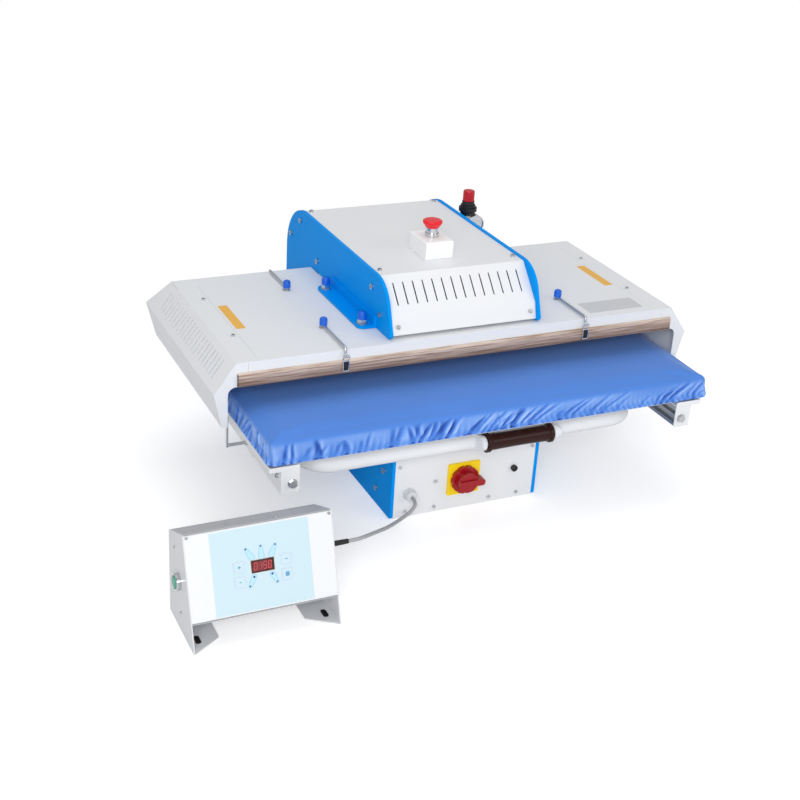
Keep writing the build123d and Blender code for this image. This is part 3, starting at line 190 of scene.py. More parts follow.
def bevelEdges(piece, width):
    bevel = piece.modifiers.new("edge", "BEVEL")
    bevel.width = width
    bevel.segments = 2
    bevel.limit_method = "ANGLE"
    bevel.angle_limit = math.radians(30)
    bevel.harden_normals = False
    applyAll(piece)


# Signal cable: the same route as the tube in the solids, as one smooth curve
cableSettings = {
    "route": [
        (-0.1205, -0.309, 0.05), (-0.1205, -0.328, 0.05), (-0.134, -0.335, 0.037), (-0.153, -0.34, 0.031),
        (-0.178, -0.358, 0.034), (-0.205, -0.385, 0.046), (-0.232, -0.412, 0.0605), (-0.26, -0.437, 0.074),
        (-0.282, -0.454, 0.082), (-0.298, -0.46, 0.084), (-0.316, -0.46, 0.084),
    ],
    "diameter": 7.0 * mm, "length": 0.272,
}


def makeCable(settings, material):
    curve = bpy.data.curves.new("signalCable", "CURVE")
    curve.dimensions = "3D"
    spline = curve.splines.new("NURBS")
    spline.points.add(len(settings["route"]) - 1)
    for point, place in zip(spline.points, settings["route"]):
        point.co = (*place, 1.0)
    spline.order_u = 3
    spline.use_endpoint_u = True
    spline.resolution_u = 16
    curve.bevel_depth = settings["diameter"] / 2
    curve.bevel_resolution = 6
    curve.use_fill_caps = True
    cable = bpy.data.objects.new("signalCable", curve)
    bpy.context.scene.collection.objects.link(cable)
    curve.materials.append(material)
    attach(cable, "frame")
    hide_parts("signal_cable")
    print("cable made")


# Finishes
def powderCoat(name, hexColour, roughness=0.42, shade=0.03, specular=0.5):
    # Powder coat baked on sheet steel: a smooth film with a fine orange-peel ripple and soft gloss
    material = newMaterial(name)
    place = addNode(material, "ShaderNodeTexCoord").outputs["Object"]
    peelWidth, cloudWidth = 2.38 * mm, 143 * mm  # the ripple of the film, and slow drifts of tone
    peel = addNode(material, "ShaderNodeTexNoise", {"Scale": 1 / peelWidth, "Detail": 2.0}, {"Vector": place})
    cloud = addNode(material, "ShaderNodeTexNoise", {"Scale": 1 / cloudWidth, "Detail": 3.0},
                    {"Vector": place})
    base = toLinear(hexColour)
    dull = [c * (1 - shade) for c in base[:3]] + [1.0]
    tone = addNode(material, "ShaderNodeMix", {"data_type": "RGBA", 6: base, 7: dull},
                   {0: cloud.outputs["Fac"]})
    gloss = addNode(material, "ShaderNodeMapRange", {"To Min": roughness - 0.05, "To Max": roughness + 0.07},
                    {"Value": cloud.outputs["Fac"]})
    bump = addNode(material, "ShaderNodeBump", {"Strength": 0.10, "Distance": 0.0004},
                   {"Height": peel.outputs["Fac"]})
    shader = addNode(material, "ShaderNodeBsdfPrincipled", {"IOR": 1.5, "Specular IOR Level": specular},
                     {"Base Color": tone.outputs[2], "Roughness": gloss.outputs[0],
                      "Normal": bump.outputs[0]})
    return finishMaterial(material, shader)


def metal(name, hexColour, roughness, grain=None, spread=0.08):
    # Metal with fine handling marks; grain stretches them into brushing or an extrusion's draw lines
    material = newMaterial(name)
    place = addNode(material, "ShaderNodeTexCoord").outputs["Object"]
    lineWidth, patchWidth = 3.85 * mm, 55.6 * mm  # real marks are finer, and drawn this coarse to show
    stretch = addNode(material, "ShaderNodeMapping", {"Scale": grain or (1, 1, 1)}, {"Vector": place})
    lines = addNode(material, "ShaderNodeTexNoise", {"Scale": 1 / lineWidth, "Detail": 3.0},
                    {"Vector": stretch.outputs[0]})
    patch = addNode(material, "ShaderNodeTexNoise", {"Scale": 1 / patchWidth, "Detail": 2.0},
                    {"Vector": place})
    base = toLinear(hexColour)
    dark = [c * 0.86 for c in base[:3]] + [1.0]
    tone = addNode(material, "ShaderNodeMix", {"data_type": "RGBA", 6: base, 7: dark},
                   {0: patch.outputs["Fac"]})
    gloss = addNode(material, "ShaderNodeMapRange",
                    {"To Min": max(0.02, roughness - spread), "To Max": roughness + spread},
                    {"Value": lines.outputs["Fac"]})
    bump = addNode(material, "ShaderNodeBump", {"Strength": 0.06, "Distance": 0.0002},
                   {"Height": lines.outputs["Fac"]})
    shader = addNode(material, "ShaderNodeBsdfPrincipled", {"Metallic": 1.0},
                     {"Base Color": tone.outputs[2], "Roughness": gloss.outputs[0],
                      "Normal": bump.outputs[0]})
    return finishMaterial(material, shader)


def plastic(name, hexColour, roughness, grit=1.11, depth=0.08, shade=0.06, specular=0.5):
    # Moulded plastic: even colour with a faint spark-eroded texture; grit is its grain in mm, drawn coarse
    material = newMaterial(name)
    place = addNode(material, "ShaderNodeTexCoord").outputs["Object"]
    cloudWidth = 33.3 * mm
    texture = addNode(material, "ShaderNodeTexNoise", {"Scale": 1 / (grit * mm), "Detail": 2.0},
                      {"Vector": place})
    cloud = addNode(material, "ShaderNodeTexNoise", {"Scale": 1 / cloudWidth, "Detail": 2.0},
                    {"Vector": place})
    base = toLinear(hexColour)
    dull = [c * (1 - shade) for c in base[:3]] + [1.0]
    tone = addNode(material, "ShaderNodeMix", {"data_type": "RGBA", 6: base, 7: dull},
                   {0: cloud.outputs["Fac"]})
    gloss = addNode(material, "ShaderNodeMapRange",
                    {"To Min": max(0.03, roughness - 0.05), "To Max": roughness + 0.06},
                    {"Value": cloud.outputs["Fac"]})
    bump = addNode(material, "ShaderNodeBump", {"Strength": depth, "Distance": 0.0003},
                   {"Height": texture.outputs["Fac"]})
    shader = addNode(material, "ShaderNodeBsdfPrincipled", {"IOR": 1.49, "Specular IOR Level": specular},
                     {"Base Color": tone.outputs[2], "Roughness": gloss.outputs[0],
                      "Normal": bump.outputs[0]})
    return finishMaterial(material, shader)


def cottonCover(name, hexColour, foldHighlightColour, foldShadeColour):
    # Woven cotton: a soft matt face; its threads, 0.3 mm apart, are drawn 2.2 mm apart so that they show
    material = newMaterial(name)
    place = addNode(material, "ShaderNodeTexCoord").outputs["Object"]
    thread, cloudWidth = 2.17 * mm, 111 * mm
    bandScale = math.pi / 10 / thread  # a wave texture has a band every pi / 10 units
    waves = []
    for way in ("X", "Y", "Z"):
        waves.append(addNode(material, "ShaderNodeTexWave",
                             {"bands_direction": way, "Scale": bandScale, "Distortion": 1.2, "Detail": 1.0},
                             {"Vector": place}).outputs["Fac"])
    pair = addNode(material, "ShaderNodeMath", {"operation": "ADD"}, {0: waves[0], 1: waves[1]})
    weave = addNode(material, "ShaderNodeMath", {"operation": "ADD"}, {0: pair.outputs[0], 1: waves[2]})
    share = addNode(material, "ShaderNodeMath", {"operation": "DIVIDE", 1: 3.0}, {0: weave.outputs[0]})
    cloud = addNode(material, "ShaderNodeTexNoise", {"Scale": 1 / cloudWidth, "Detail": 4.0},
                    {"Vector": place})
    base = toLinear(hexColour)
    shaded = [c * 0.88 for c in base[:3]] + [1.0]
    tone = addNode(material, "ShaderNodeMix", {"data_type": "RGBA", 6: base, 7: shaded},
                   {0: cloud.outputs["Fac"]})
    threadTone = addNode(material, "ShaderNodeMix", {"data_type": "RGBA", "blend_type": "MULTIPLY",
                                                     7: [0.88, 0.91, 0.96, 1.0]},
                         {0: share.outputs[0], 6: tone.outputs[2]})
    bump = addNode(material, "ShaderNodeBump", {"Strength": 0.25, "Distance": 0.0003},
                   {"Height": share.outputs[0]})
    # Painted light: the raised folds and the skirt are painted paler as highlight, and the hollows between
    # the folds deeper as painted shade
    foldLightShade = addNode(material, "ShaderNodeAttribute", {"attribute_name": "foldLightShade"})
    highlightShare = addNode(material, "ShaderNodeMapRange", {"From Max": 1.0}, {"Value": foldLightShade.outputs["Fac"]})
    shadeShare = addNode(material, "ShaderNodeMapRange", {"From Max": -1.0}, {"Value": foldLightShade.outputs["Fac"]})
    highlighted = addNode(material, "ShaderNodeMix", {"data_type": "RGBA", 7: toLinear(foldHighlightColour)},
                   {0: highlightShare.outputs[0], 6: threadTone.outputs[2]})
    foldShaded = addNode(material, "ShaderNodeMix", {"data_type": "RGBA", 7: toLinear(foldShadeColour)},
                   {0: shadeShare.outputs[0], 6: highlighted.outputs[2]})
    shader = addNode(material, "ShaderNodeBsdfPrincipled",
                     {"Roughness": 0.78, "Sheen Weight": 0.25, "Sheen Roughness": 0.4, "IOR": 1.45},
                     {"Base Color": foldShaded.outputs[2], "Normal": bump.outputs[0]})
    return finishMaterial(material, shader)


def coatedGlassCloth(name, hexColour, darkLevel, hemTop):
    # Glass cloth with a fluoropolymer coat: tan, darker towards its bottom edge, with drawn-out darker
    # streaks painted as shade in its creases
    material = newMaterial(name)
    place = addNode(material, "ShaderNodeTexCoord").outputs["Object"]
    yarn, streakWidth = 1.43 * mm, 3.03 * mm
    weave = addNode(material, "ShaderNodeTexChecker", {"Scale": 1 / yarn}, {"Vector": place})
    stretch = addNode(material, "ShaderNodeMapping", {"Scale": (0.03, 0.3, 1)}, {"Vector": place})
    streak = addNode(material, "ShaderNodeTexNoise", {"Scale": 1 / streakWidth, "Detail": 4.0},
                     {"Vector": stretch.outputs[0]})
    creaseShade = addNode(material, "ShaderNodeMapRange", {"From Min": 0.40, "From Max": 0.62},
                     {"Value": streak.outputs["Fac"]})
    height = addNode(material, "ShaderNodeSeparateXYZ", None, {"Vector": place}).outputs["Z"]
    rise = addNode(material, "ShaderNodeMapRange", {"From Min": darkLevel, "From Max": hemTop},
                   {"Value": height})
    base = toLinear(hexColour)
    lowTone = [c * share for c, share in zip(base, (0.36, 0.30, 0.27))] + [1.0]
    # Painted shade: horizontal streaks darken the cloth where its crease lines would be shaded
    creaseShadeColour = [0.52, 0.42, 0.36, 1.0]
    heightTone = addNode(material, "ShaderNodeMix", {"data_type": "RGBA", 6: lowTone, 7: base},
                     {0: rise.outputs[0]})
    tone = addNode(material, "ShaderNodeMix", {"data_type": "RGBA", "blend_type": "MULTIPLY", 7: creaseShadeColour},
                   {0: creaseShade.outputs[0], 6: heightTone.outputs[2]})
    bump = addNode(material, "ShaderNodeBump", {"Strength": 0.12, "Distance": 0.0002},
                   {"Height": weave.outputs["Fac"]})
    shader = addNode(material, "ShaderNodeBsdfPrincipled", {"Roughness": 0.42, "IOR": 1.38},
                     {"Base Color": tone.outputs[2], "Normal": bump.outputs[0]})
    return finishMaterial(material, shader)


def ink(name, hexColour, roughness=0.35, glow=0.0):
    # Ink printed behind polyester film: flat colour, slightly mottled, under a satin gloss
    material = newMaterial(name)
    place = addNode(material, "ShaderNodeTexCoord").outputs["Object"]
    mottleWidth = 6.25 * mm
    mottle = addNode(material, "ShaderNodeTexNoise", {"Scale": 1 / mottleWidth, "Detail": 2.0},
                     {"Vector": place})
    base = toLinear(hexColour)
    thin = [c + (1 - c) * 0.05 for c in base[:3]] + [1.0]
    tone = addNode(material, "ShaderNodeMix", {"data_type": "RGBA", 6: base, 7: thin},
                   {0: mottle.outputs["Fac"]})
    shader = addNode(material, "ShaderNodeBsdfPrincipled",
                     {"Roughness": roughness, "Emission Color": base, "Emission Strength": glow},
                     {"Base Color": tone.outputs[2]})
    return finishMaterial(material, shader)


finishes = {
    "blue_paint": powderCoat("powderCoatBlue", "#0096f0", 0.34, specular=0.03),
    "white_paint": powderCoat("powderCoatWhite", "#e8eaed", 0.40),
    "grey_paint": powderCoat("powderCoatGrey", "#dadcdf", 0.42),
    "zinc_steel": metal("zincPlatedSteel", "#d6d8da", 0.30),
    "machined_steel": metal("groundSteel", "#a9abae", 0.28, (1, 1, 0.1)),
    "chrome": metal("chromePlate", "#dadbdd", 0.08, spread=0.03),
    "bare_aluminium": metal("anodisedAluminium", "#cfd1d4", 0.36, (1, 0.05, 1)),
    "insulation": plastic("mineralWool", "#cfc7a6", 0.9, grit=3.33, depth=0.8),
    "glass_cloth": coatedGlassCloth("coatedGlassCloth", "#dccabe", darkLevel=0.307, hemTop=0.331),
    # The cotton's second colour is a painted highlight and its third a painted shade, laid on its folds
    "blue_cotton": cottonCover("blueCotton", "#5089e0", "#9cc0fb", "#2556b0"),
    "blue_plastic": plastic("polyethyleneBlue", "#0b62d6", 0.28),
    "red_plastic": plastic("nylonRed", "#c0101f", 0.22),
    "yellow_plastic": plastic("absYellow", "#ffdb12", 0.35, specular=0.3),
    "black_plastic": plastic("glassFilledNylonBlack", "#17181a", 0.42),
    "grey_plastic": plastic("nylonGrey", "#d7d9da", 0.40),
    "brown_rubber": plastic("phenolicBrown", "#2e1109", 0.18, grit=2.0, depth=0.05, specular=0.25),
    "white_plastic": plastic("absWhite", "#f0f1f4", 0.38),
    "foil": ink("polyesterFoil", "#c6dee7", 0.30),
    "green_plastic": plastic("polycarbonateGreen", "#0d9a78", 0.25),
    "cable_grey": plastic("pvcGrey", "#a4a5a8", 0.42, grit=1.43),
    "acetal": plastic("acetalWhite", "#e8e8e4", 0.35),
}
print("finishes made")

makeCable(cableSettings, finishes["cable_grey"])


# Hard pieces of the solids, given the small edge radius that sheet metal and mouldings have
def softenedCopy(node, name, width, material):
    source = frame["nodes"][node]
    body = source["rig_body"]
    piece = bpy.data.objects.new(name, source.data.copy())
    bpy.context.scene.collection.objects.link(piece)
    pick(piece)
    bpy.ops.object.mode_set(mode="EDIT")
    bpy.ops.mesh.select_all(action="SELECT")
    bpy.ops.mesh.remove_doubles(threshold=0.00002)
    bpy.ops.mesh.dissolve_limited(angle_limit=math.radians(1.0))
    bpy.ops.object.mode_set(mode="OBJECT")
    if piece.data.has_custom_normals:
        bpy.ops.mesh.customdata_custom_splitnormals_clear()
    bevelEdges(piece, width)
    smooth(piece, 32)
    flat = piece.modifiers.new("flatFaces", "WEIGHTED_NORMAL")
    flat.weight = 50
    flat.keep_sharp = True
    applyAll(piece)
    finishPiece(piece, name, body, material, (node,))


hardPieces = {  # name of the copy, edge radius in mm, and a finish of its own
    "side_plate_left": ("sidePlateLeft", 0.9), "side_plate_right": ("sidePlateRight", 0.9),
    "base_pan": ("basePan", 0.5), "upper_cover": ("upperCover", 0.7), "rear_cover": ("rearCover", 0.5),
    "angle_bracket_left": ("angleBracketLeft", 0.8), "angle_bracket_right": ("angleBracketRight", 0.8),
    "head_top_panel": ("headTopPanel", 0.7), "head_side_cover_left": ("headSideCoverLeft", 0.6),
    "head_side_cover_right": ("headSideCoverRight", 0.6), "head_rear_cover_left": ("headRearCoverLeft", 0.6),
    "head_rear_cover_right": ("headRearCoverRight", 0.6), "rail_tabs": ("railTabs", 0.6),
    "drawer_rail_left": ("drawerRailLeft", 0.3), "drawer_rail_right": ("drawerRailRight", 0.3),
    "buck_tray": ("buckTray", 0.5), "switch_plate": ("switchPlate", 0.8), "lift_frame": ("liftFrame", 0.8),
    "console_side_left": ("consoleSideLeft", 0.6), "console_side_right": ("consoleSideRight", 0.6),
    "console_front": ("consoleFront", 0.5), "base_top_plate": ("baseTopPlate", 0.5),
    "estop_button": ("estopButton", 0.4, plastic("absRed", "#ec1023", 0.20)),
    "regulator_knob": ("regulatorKnob", 0.3, plastic("acetalRed", "#c00d1e", 0.24)),
    "switch_knob": ("switchKnob", 0.5, plastic("polyamideRed", "#a30c1b", 0.20)),
    "handle_grip": ("handleGrip", 0.4), "blue_caps": ("blueCaps", 0.3),
    # Painted shade: the console case gets a darker grey than its paint because its upward faces take less
    # light
    "console_case": ("consoleCase", 0.6, powderCoat("powderCoatGreyPaintedShade", "#b3b5b9", 0.40)),
    "estop_housing": ("estopHousing", 0.8, plastic("absOffWhite", "#fafbfc", 0.38)),
}
slots = {entry["node"]: entry["material_slot"] for entry in frame["record"]["subparts"]}
for node, (pieceName, width, *own) in hardPieces.items():
    softenedCopy(node, pieceName, width * mm, own[0] if own else finishes[slots[node]])
print("hard pieces softened")


# Padded buck: a foam block under a cotton cover that is gathered round its hem
padSettings = {
    "voxel": 6 * mm, "inset": 2.5 * mm, "shift": 9 * mm, "wider": 6 * mm, "corner": 14 * mm, "roll": 9 * mm,
    "pressure": 4.0, "cap": 6 * mm, "frames": 20, "hem": 4 * mm, "foot": 2 * mm, "rearStrip": 50 * mm,
    "folds": 250, "foldDepth": 6.6 * mm, "foldShare": (0.35, 1.0), "foldReach": (20 * mm, 56 * mm),
    "foldWidth": (2.6 * mm, 5.4 * mm), "leanFrom": -0.1, "leanRight": (0.7, 1.9), "leanLeft": (-0.5, 0.9),
    "skirtTop": 0.98, "skirtFade": 0.3, "seam": 30 * mm, "spare": 0.45,  # the folds run on past the corners
    "pucker": 2.6 * mm, "puckerPitch": 12.5 * mm, "puckerFade": 9 * mm, "wave": 1.0 * mm,
    # The last two keys below scale the painted highlight and shade on the cover's folds and skirt
    "hemRise": 8 * mm, "hemScallop": 1.0 * mm, "dip": 0.5 * mm, "lightShadeDepth": 4.0 * mm, "skirtHighlight": 0.38,
}


def padBlank(settings):
    low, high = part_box("buck_pad")
    size = [high[i] - low[i] - 2 * settings["inset"] for i in (0, 1)] + [high.z - low.z - settings["inset"]]
    size[0] += settings["wider"]
    middle = ((low.x + high.x) / 2 + settings["shift"], (low.y + high.y) / 2, low.z + size[2] / 2)
    bpy.ops.mesh.primitive_cube_add(size=1, location=middle)
    pad = bpy.context.object
    pad.scale = size
    settle(pad)
    selectWhere(pad, lambda a, b: abs(a.z - b.z) > 0.01, "EDGE")
    bpy.ops.mesh.bevel(offset=settings["corner"], segments=5, affect="EDGES")
    top = low.z + size[2]
    selectWhere(pad, lambda a, b: a.z > top - 1e-5 and b.z > top - 1e-5, "EDGE")
    bpy.ops.mesh.bevel(offset=settings["roll"], segments=4, affect="EDGES")
    bpy.ops.object.mode_set(mode="OBJECT")
    pad.data.remesh_voxel_size = settings["voxel"]
    pick(pad)
    bpy.ops.object.voxel_remesh()
    return pad


def meshPoints(piece):
    points = np.empty(len(piece.data.vertices) * 3)
    piece.data.vertices.foreach_get("co", points)
    return points.reshape(-1, 3)


def setPoints(piece, points):
    piece.data.vertices.foreach_set("co", points.ravel())
    piece.data.update()


def puffUp(pad, settings):
    # The cover is pinned along its hem while the foam pushes it outwards
    start = meshPoints(pad)
    low = start[:, 2].min()
    pinned = pad.vertex_groups.new(name="hem")
    pinned.add([i for i, z in enumerate(start[:, 2]) if z < low + settings["hem"]], 1.0, "REPLACE")
    cloth = pad.modifiers.new("cover", "CLOTH")
    cloth.settings.use_pressure = True
    cloth.settings.uniform_pressure_force = settings["pressure"]
    cloth.settings.vertex_group_mass = "hem"
    cloth.settings.effector_weights.gravity = 0
    cloth.settings.quality = 5
    for step in range(1, settings["frames"] + 1):
        bpy.context.scene.frame_set(step)
    applyAll(pad)
    bpy.context.scene.frame_set(1)
    moved = meshPoints(pad) - start
    reach = np.linalg.norm(moved, axis=1, keepdims=True)
    moved *= np.minimum(1, settings["cap"] / np.maximum(reach, 1e-9))
    setPoints(pad, start + moved)
    pad.vertex_groups.clear()


def gatherCover(pad, settings):
    # Folds rise from the hem and lean as the cover is pulled round; puckers follow the cord in the hem
    low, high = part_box("buck_pad")
    points = meshPoints(pad)
    normals = np.empty(points.size)
    pad.data.vertices.foreach_get("normal", normals)
    normals = normals.reshape(-1, 3)
    rise = (points[:, 2] - low.z) / (high.z - low.z)
    side = np.clip(1 - np.abs(normals[:, 2]) * 1.3, 0, 1)
    skirt = side * np.clip((settings["skirtTop"] - rise) / settings["skirtFade"], 0, 1)
    along = points[:, 0] + np.sign(points[:, 0]) * (points[:, 1] - low.y)
    height = points[:, 2] - low.z
    seam = np.clip(np.abs(points[:, 0]) / settings["seam"], 0, 1)
    seam = np.where(points[:, 1] > high.y - settings["rearStrip"], seam, 1.0)
    depth = np.zeros(len(points))
    span = high.x + (high.y - low.y) + settings["spare"]
    for i in range(settings["folds"]):
        start = random.uniform(-span, span)
        lean = random.uniform(*settings["leanRight" if start > settings["leanFrom"] else "leanLeft"])
        reach = random.uniform(*settings["foldReach"])
        width = random.uniform(*settings["foldWidth"])
        amount = settings["foldDepth"] * random.uniform(*settings["foldShare"])
        across = (along - start - lean * height) / width
        fade = np.clip(1 - height / reach, 0, 1) ** 0.6
        depth += amount * fade * (0.5 * np.exp(-(across - 1.7) ** 2) - np.exp(-across ** 2))
    turns = along * 2 * math.pi / settings["puckerPitch"]
    gather = np.sin(turns + 2.2 * np.sin(along * 23) + np.sin(along * 61))
    depth += settings["pucker"] * np.exp(-height / settings["puckerFade"]) * gather
    depth += settings["wave"] * np.sin(along * 19 + 1.3) * np.sin(height * 70 + along * 7)
    outward = normals * np.array([1, 1, 0])
    points += outward * (depth * skirt * seam)[:, None]
    # Painted light for the cover's colour: highlight on the fold ridges and over the whole skirt, shade in
    # the hollows between folds
    lightShadeField = pad.data.attributes.new("foldLightShade", "FLOAT", "POINT")
    lightAndShade = depth * skirt * seam / settings["lightShadeDepth"] + settings["skirtHighlight"] * skirt
    lightShadeField.data.foreach_set("value", np.clip(lightAndShade, -1, 1))
    hem = np.clip(1 - height / settings["hemRise"], 0, 1) * side * seam
    points[:, 2] += hem * settings["hemScallop"] * gather
    dip = np.sin(points[:, 0] * 17 + 2 * np.sin(points[:, 1] * 9)) * np.sin(points[:, 1] * 21 + 0.6)
    points[:, 2] += settings["dip"] * dip * np.clip(normals[:, 2], 0, 1)
    setPoints(pad, points)


def makePad(settings):
    pad = padBlank(settings)
    puffUp(pad, settings)
    finer = pad.modifiers.new("finer", "SUBSURF")
    finer.levels = finer.render_levels = 1
    applyAll(pad)
    low = meshPoints(pad)[:, 2].min()
    selectWhere(pad, lambda centre, normal: normal.z < -0.9 and centre.z < low + settings["foot"])
    for _ in range(4):
        bpy.ops.mesh.select_less()
    bpy.ops.mesh.delete(type="FACE")
    bpy.ops.mesh.select_mode(type="EDGE")
    bpy.ops.mesh.select_non_manifold(use_wire=False, use_multi_face=False, use_non_contiguous=False,
                                     use_verts=False)
    bpy.ops.mesh.edge_face_add()
    deselectAll()
    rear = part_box("buck_pad")[1].y - settings["rearStrip"]
    selectWhere(pad, lambda centre, normal: abs(normal.z) < 0.8 and centre.y < rear)
    bpy.ops.mesh.subdivide(number_cuts=1, smoothness=0)
    deselectAll()
    gatherCover(pad, settings)
    smooth(pad, 80)
    finishPiece(pad, "padCover", "drawer", finishes["blue_cotton"], ("buck_pad",))
    print("pad made", len(pad.data.polygons))


makePad(padSettings)


# Release sheet: glass cloth drawn round the hot plate, with a creased hem folded on to the apron in front
sheetSettings = {
    "thickness": 0.6 * mm, "cuts": 120, "ripple": 0.35 * mm, "flat": (0.900, 0.450),
    "rippleRise": 6 * mm, "rippleFade": 3 * mm, "rippleTop": 331.5 * mm,
    "frontHem": [  # back and up at each turn, in mm
        (-0.7, 4.5), (0.9, 4.0), (-0.8, 4.5), (0.5, 4.5), (-0.3, 3.5), (1.2, 2.4), (3.2, 0.9),
    ],
    "rearHem": [(0.0, 10.0), (0.0, 10.0)],
}


def makeReleaseSheet(settings):
    low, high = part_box("release_sheet")
    inset = settings["thickness"]
    level = low.z + inset
    bpy.ops.mesh.primitive_plane_add(size=1, location=((low.x + high.x) / 2, (low.y + high.y) / 2, level))
    sheet = bpy.context.object
    sheet.scale = (high.x - low.x, high.y - low.y - 2 * inset, 1)
    settle(sheet)
    for edgeY, hem in ((low.y + inset, settings["frontHem"]), (high.y - inset, settings["rearHem"])):
        place = [edgeY, level]
        for dy, dz in hem:
            selectWhere(sheet, lambda a, b: all(abs(p.y - place[0]) < 1e-5 and abs(p.z - place[1]) < 1e-5
                                                for p in (a, b)), "EDGE")
            bpy.ops.mesh.extrude_region_move(TRANSFORM_OT_translate={"value": (0, dy * mm, dz * mm)})
            place = [place[0] + dy * mm, place[1] + dz * mm]
    selectWhere(sheet, lambda a, b: abs(a.x - b.x) > 0.5, "EDGE")
    bpy.ops.mesh.subdivide(number_cuts=settings["cuts"], quadcorner="INNERVERT")
    deselectAll()
    points = meshPoints(sheet)
    hemPart = np.clip((points[:, 2] - level) / settings["rippleRise"], 0, 1)
    hemPart *= np.clip((settings["rippleTop"] - points[:, 2]) / settings["rippleFade"], 0, 1)
    wave = np.sin(points[:, 0] * 190 + 2 * np.sin(points[:, 0] * 47 + points[:, 2] * 300))
    points[:, 1] += settings["ripple"] * wave * hemPart
    points[:, 2] += 0.3 * settings["ripple"] * np.sin(points[:, 0] * 83) * hemPart
    setPoints(sheet, points)
    thick = sheet.modifiers.new("cloth", "SOLIDIFY")
    thick.thickness = settings["thickness"]
    thick.offset = 0
    applyAll(sheet)
    smooth(sheet, 50)
    finishPiece(sheet, "releaseSheet", "frame", finishes["glass_cloth"], ("release_sheet",))
    print("release sheet made")


makeReleaseSheet(sheetSettings)


# Hem clips: a wire loop that narrows to a folded jaw, with a crossbar
clipSettings = {
    "spots": {"Left": -0.250, "Right": 0.250}, "loopRadius": 6.3 * mm, "wire": 0.95 * mm, "neck": 2.6 * mm,
    "tail": 4.5 * mm, "barRadius": 0.8 * mm, "barLength": 11 * mm, "barRise": 1.5 * mm, "drop": 15.5 * mm,
    "jaw": (13.0 * mm, 3.4 * mm, 21.0 * mm), "rim": 1.5 * mm, "sink": 0.5 * mm, "padShare": (0.72, 1.15, 0.8),
    "topGap": 1.0 * mm, "hemGap": 0.3 * mm, "edge": 0.4 * mm,
}


def makeClip(x, settings):
    low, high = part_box("sheet_clips")
    hem = low.y - settings["hemGap"]
    centre = high.z - settings["topGap"] - settings["loopRadius"]
    bpy.ops.mesh.primitive_torus_add(major_radius=settings["loopRadius"], minor_radius=settings["wire"],
                                     major_segments=32, minor_segments=8, location=(x, hem, centre),
                                     rotation=(math.radians(90), 0, 0))
    loop = bpy.context.object
    settle(loop)
    points = meshPoints(loop)
    below = np.clip((centre - points[:, 2]) / settings["loopRadius"], 0, 1)
    points[:, 2] -= below * settings["tail"]
    points[:, 0] = x + (points[:, 0] - x) * (1 - below * (1 - settings["neck"] / settings["loopRadius"]))
    setPoints(loop, points)
    bpy.ops.mesh.primitive_cylinder_add(radius=settings["barRadius"], depth=settings["barLength"],
                                        location=(x, hem, centre + settings["barRise"]), vertices=10,
                                        rotation=(0, math.radians(90), 0))
    bar = bpy.context.object
    settle(bar)
    jawPlace = Vector((x, hem, centre - settings["drop"]))
    bpy.ops.mesh.primitive_cube_add(size=1, location=jawPlace)
    jaw = bpy.context.object
    jaw.scale = settings["jaw"]
    settle(jaw)
    selectWhere(jaw, lambda at, normal: abs(normal.y) > 0.9)
    bpy.ops.mesh.inset(thickness=settings["rim"], depth=-settings["sink"])
    deselectAll()
    bevelEdges(jaw, settings["edge"])
    pad = bpy.data.objects.new("jawPad", jaw.data.copy())
    bpy.context.scene.collection.objects.link(pad)
    shrink = Matrix.Diagonal((*settings["padShare"], 1.0))
    pad.data.transform(Matrix.Translation(jawPlace) @ shrink @ Matrix.Translation(-jawPlace))
    pick(loop)
    for part in (bar, jaw):
        part.select_set(True)
    bpy.ops.object.join()
    return loop, pad


def makeClips(settings):
    for name, x in settings["spots"].items():
        clip, pad = makeClip(x, settings)
        smooth(clip, 40)
        finishPiece(clip, "clip" + name, "frame", finishes["chrome"])
        finishPiece(pad, "clipPad" + name, "frame", finishes["black_plastic"])
    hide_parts("sheet_clips")
    print("clips made")


makeClips(clipSettings)


# Keypad print: marks in the plane of the console's front plate, in mm across and down from its corner
inkDepth = 0.06
inkStep = 0.05  # each layer of print lies this much above the last
consoleSettings = {
    "corner": (-626.0, -513.0, 189.0), "foot": (-560.0, 47.0), "foil": 0.62, "key": 1.12,
    "display": (107.8, 61.8, 147.0, 82.8), "digits": "0150",
    "keys": [(87.5, 69.0), (87.5, 94.0), (168.0, 68.5), (168.0, 94.0)],
    "pointers": [  # far end and its radius, near end and its radius
        ((101.0, 41.3), 2.0, (109.7, 56.0), 4.6), ((126.3, 40.1), 2.0, (126.6, 57.0), 4.6),
        ((151.1, 41.4), 2.0, (143.5, 56.7), 4.6), ((103.2, 103.4), 2.4, (111.4, 89.0), 3.8),
        ((149.8, 103.4), 2.4, (142.3, 89.0), 3.8),
    ],
}


def consolePlane(settings):
    x, y, z = settings["corner"]
    rise = Vector((0, y - settings["foot"][0], z - settings["foot"][1])).normalized()
    out = Vector((1, 0, 0)).cross(rise)
    turn = Matrix((Vector((1, 0, 0)), rise, out)).transposed().to_4x4()
    return Matrix.Translation(Vector((x, y, z)) * mm) @ turn


def markBar(across, down, width, height, lift, turn=0.0, round=0.0):
    bpy.ops.mesh.primitive_cube_add(size=1, location=(0, 0, 0))
    bar = bpy.context.object
    bar.scale = (width, height, inkDepth)
    settle(bar)
    if round:
        selectWhere(bar, lambda a, b: abs(a.z - b.z) > 0.01, "EDGE")
        bpy.ops.mesh.bevel(offset=round, segments=4, affect="EDGES")
        deselectAll()
    bar.data.transform(Matrix.Translation((across, -down, lift)) @ Matrix.Rotation(turn, 4, "Z"))
    return bar


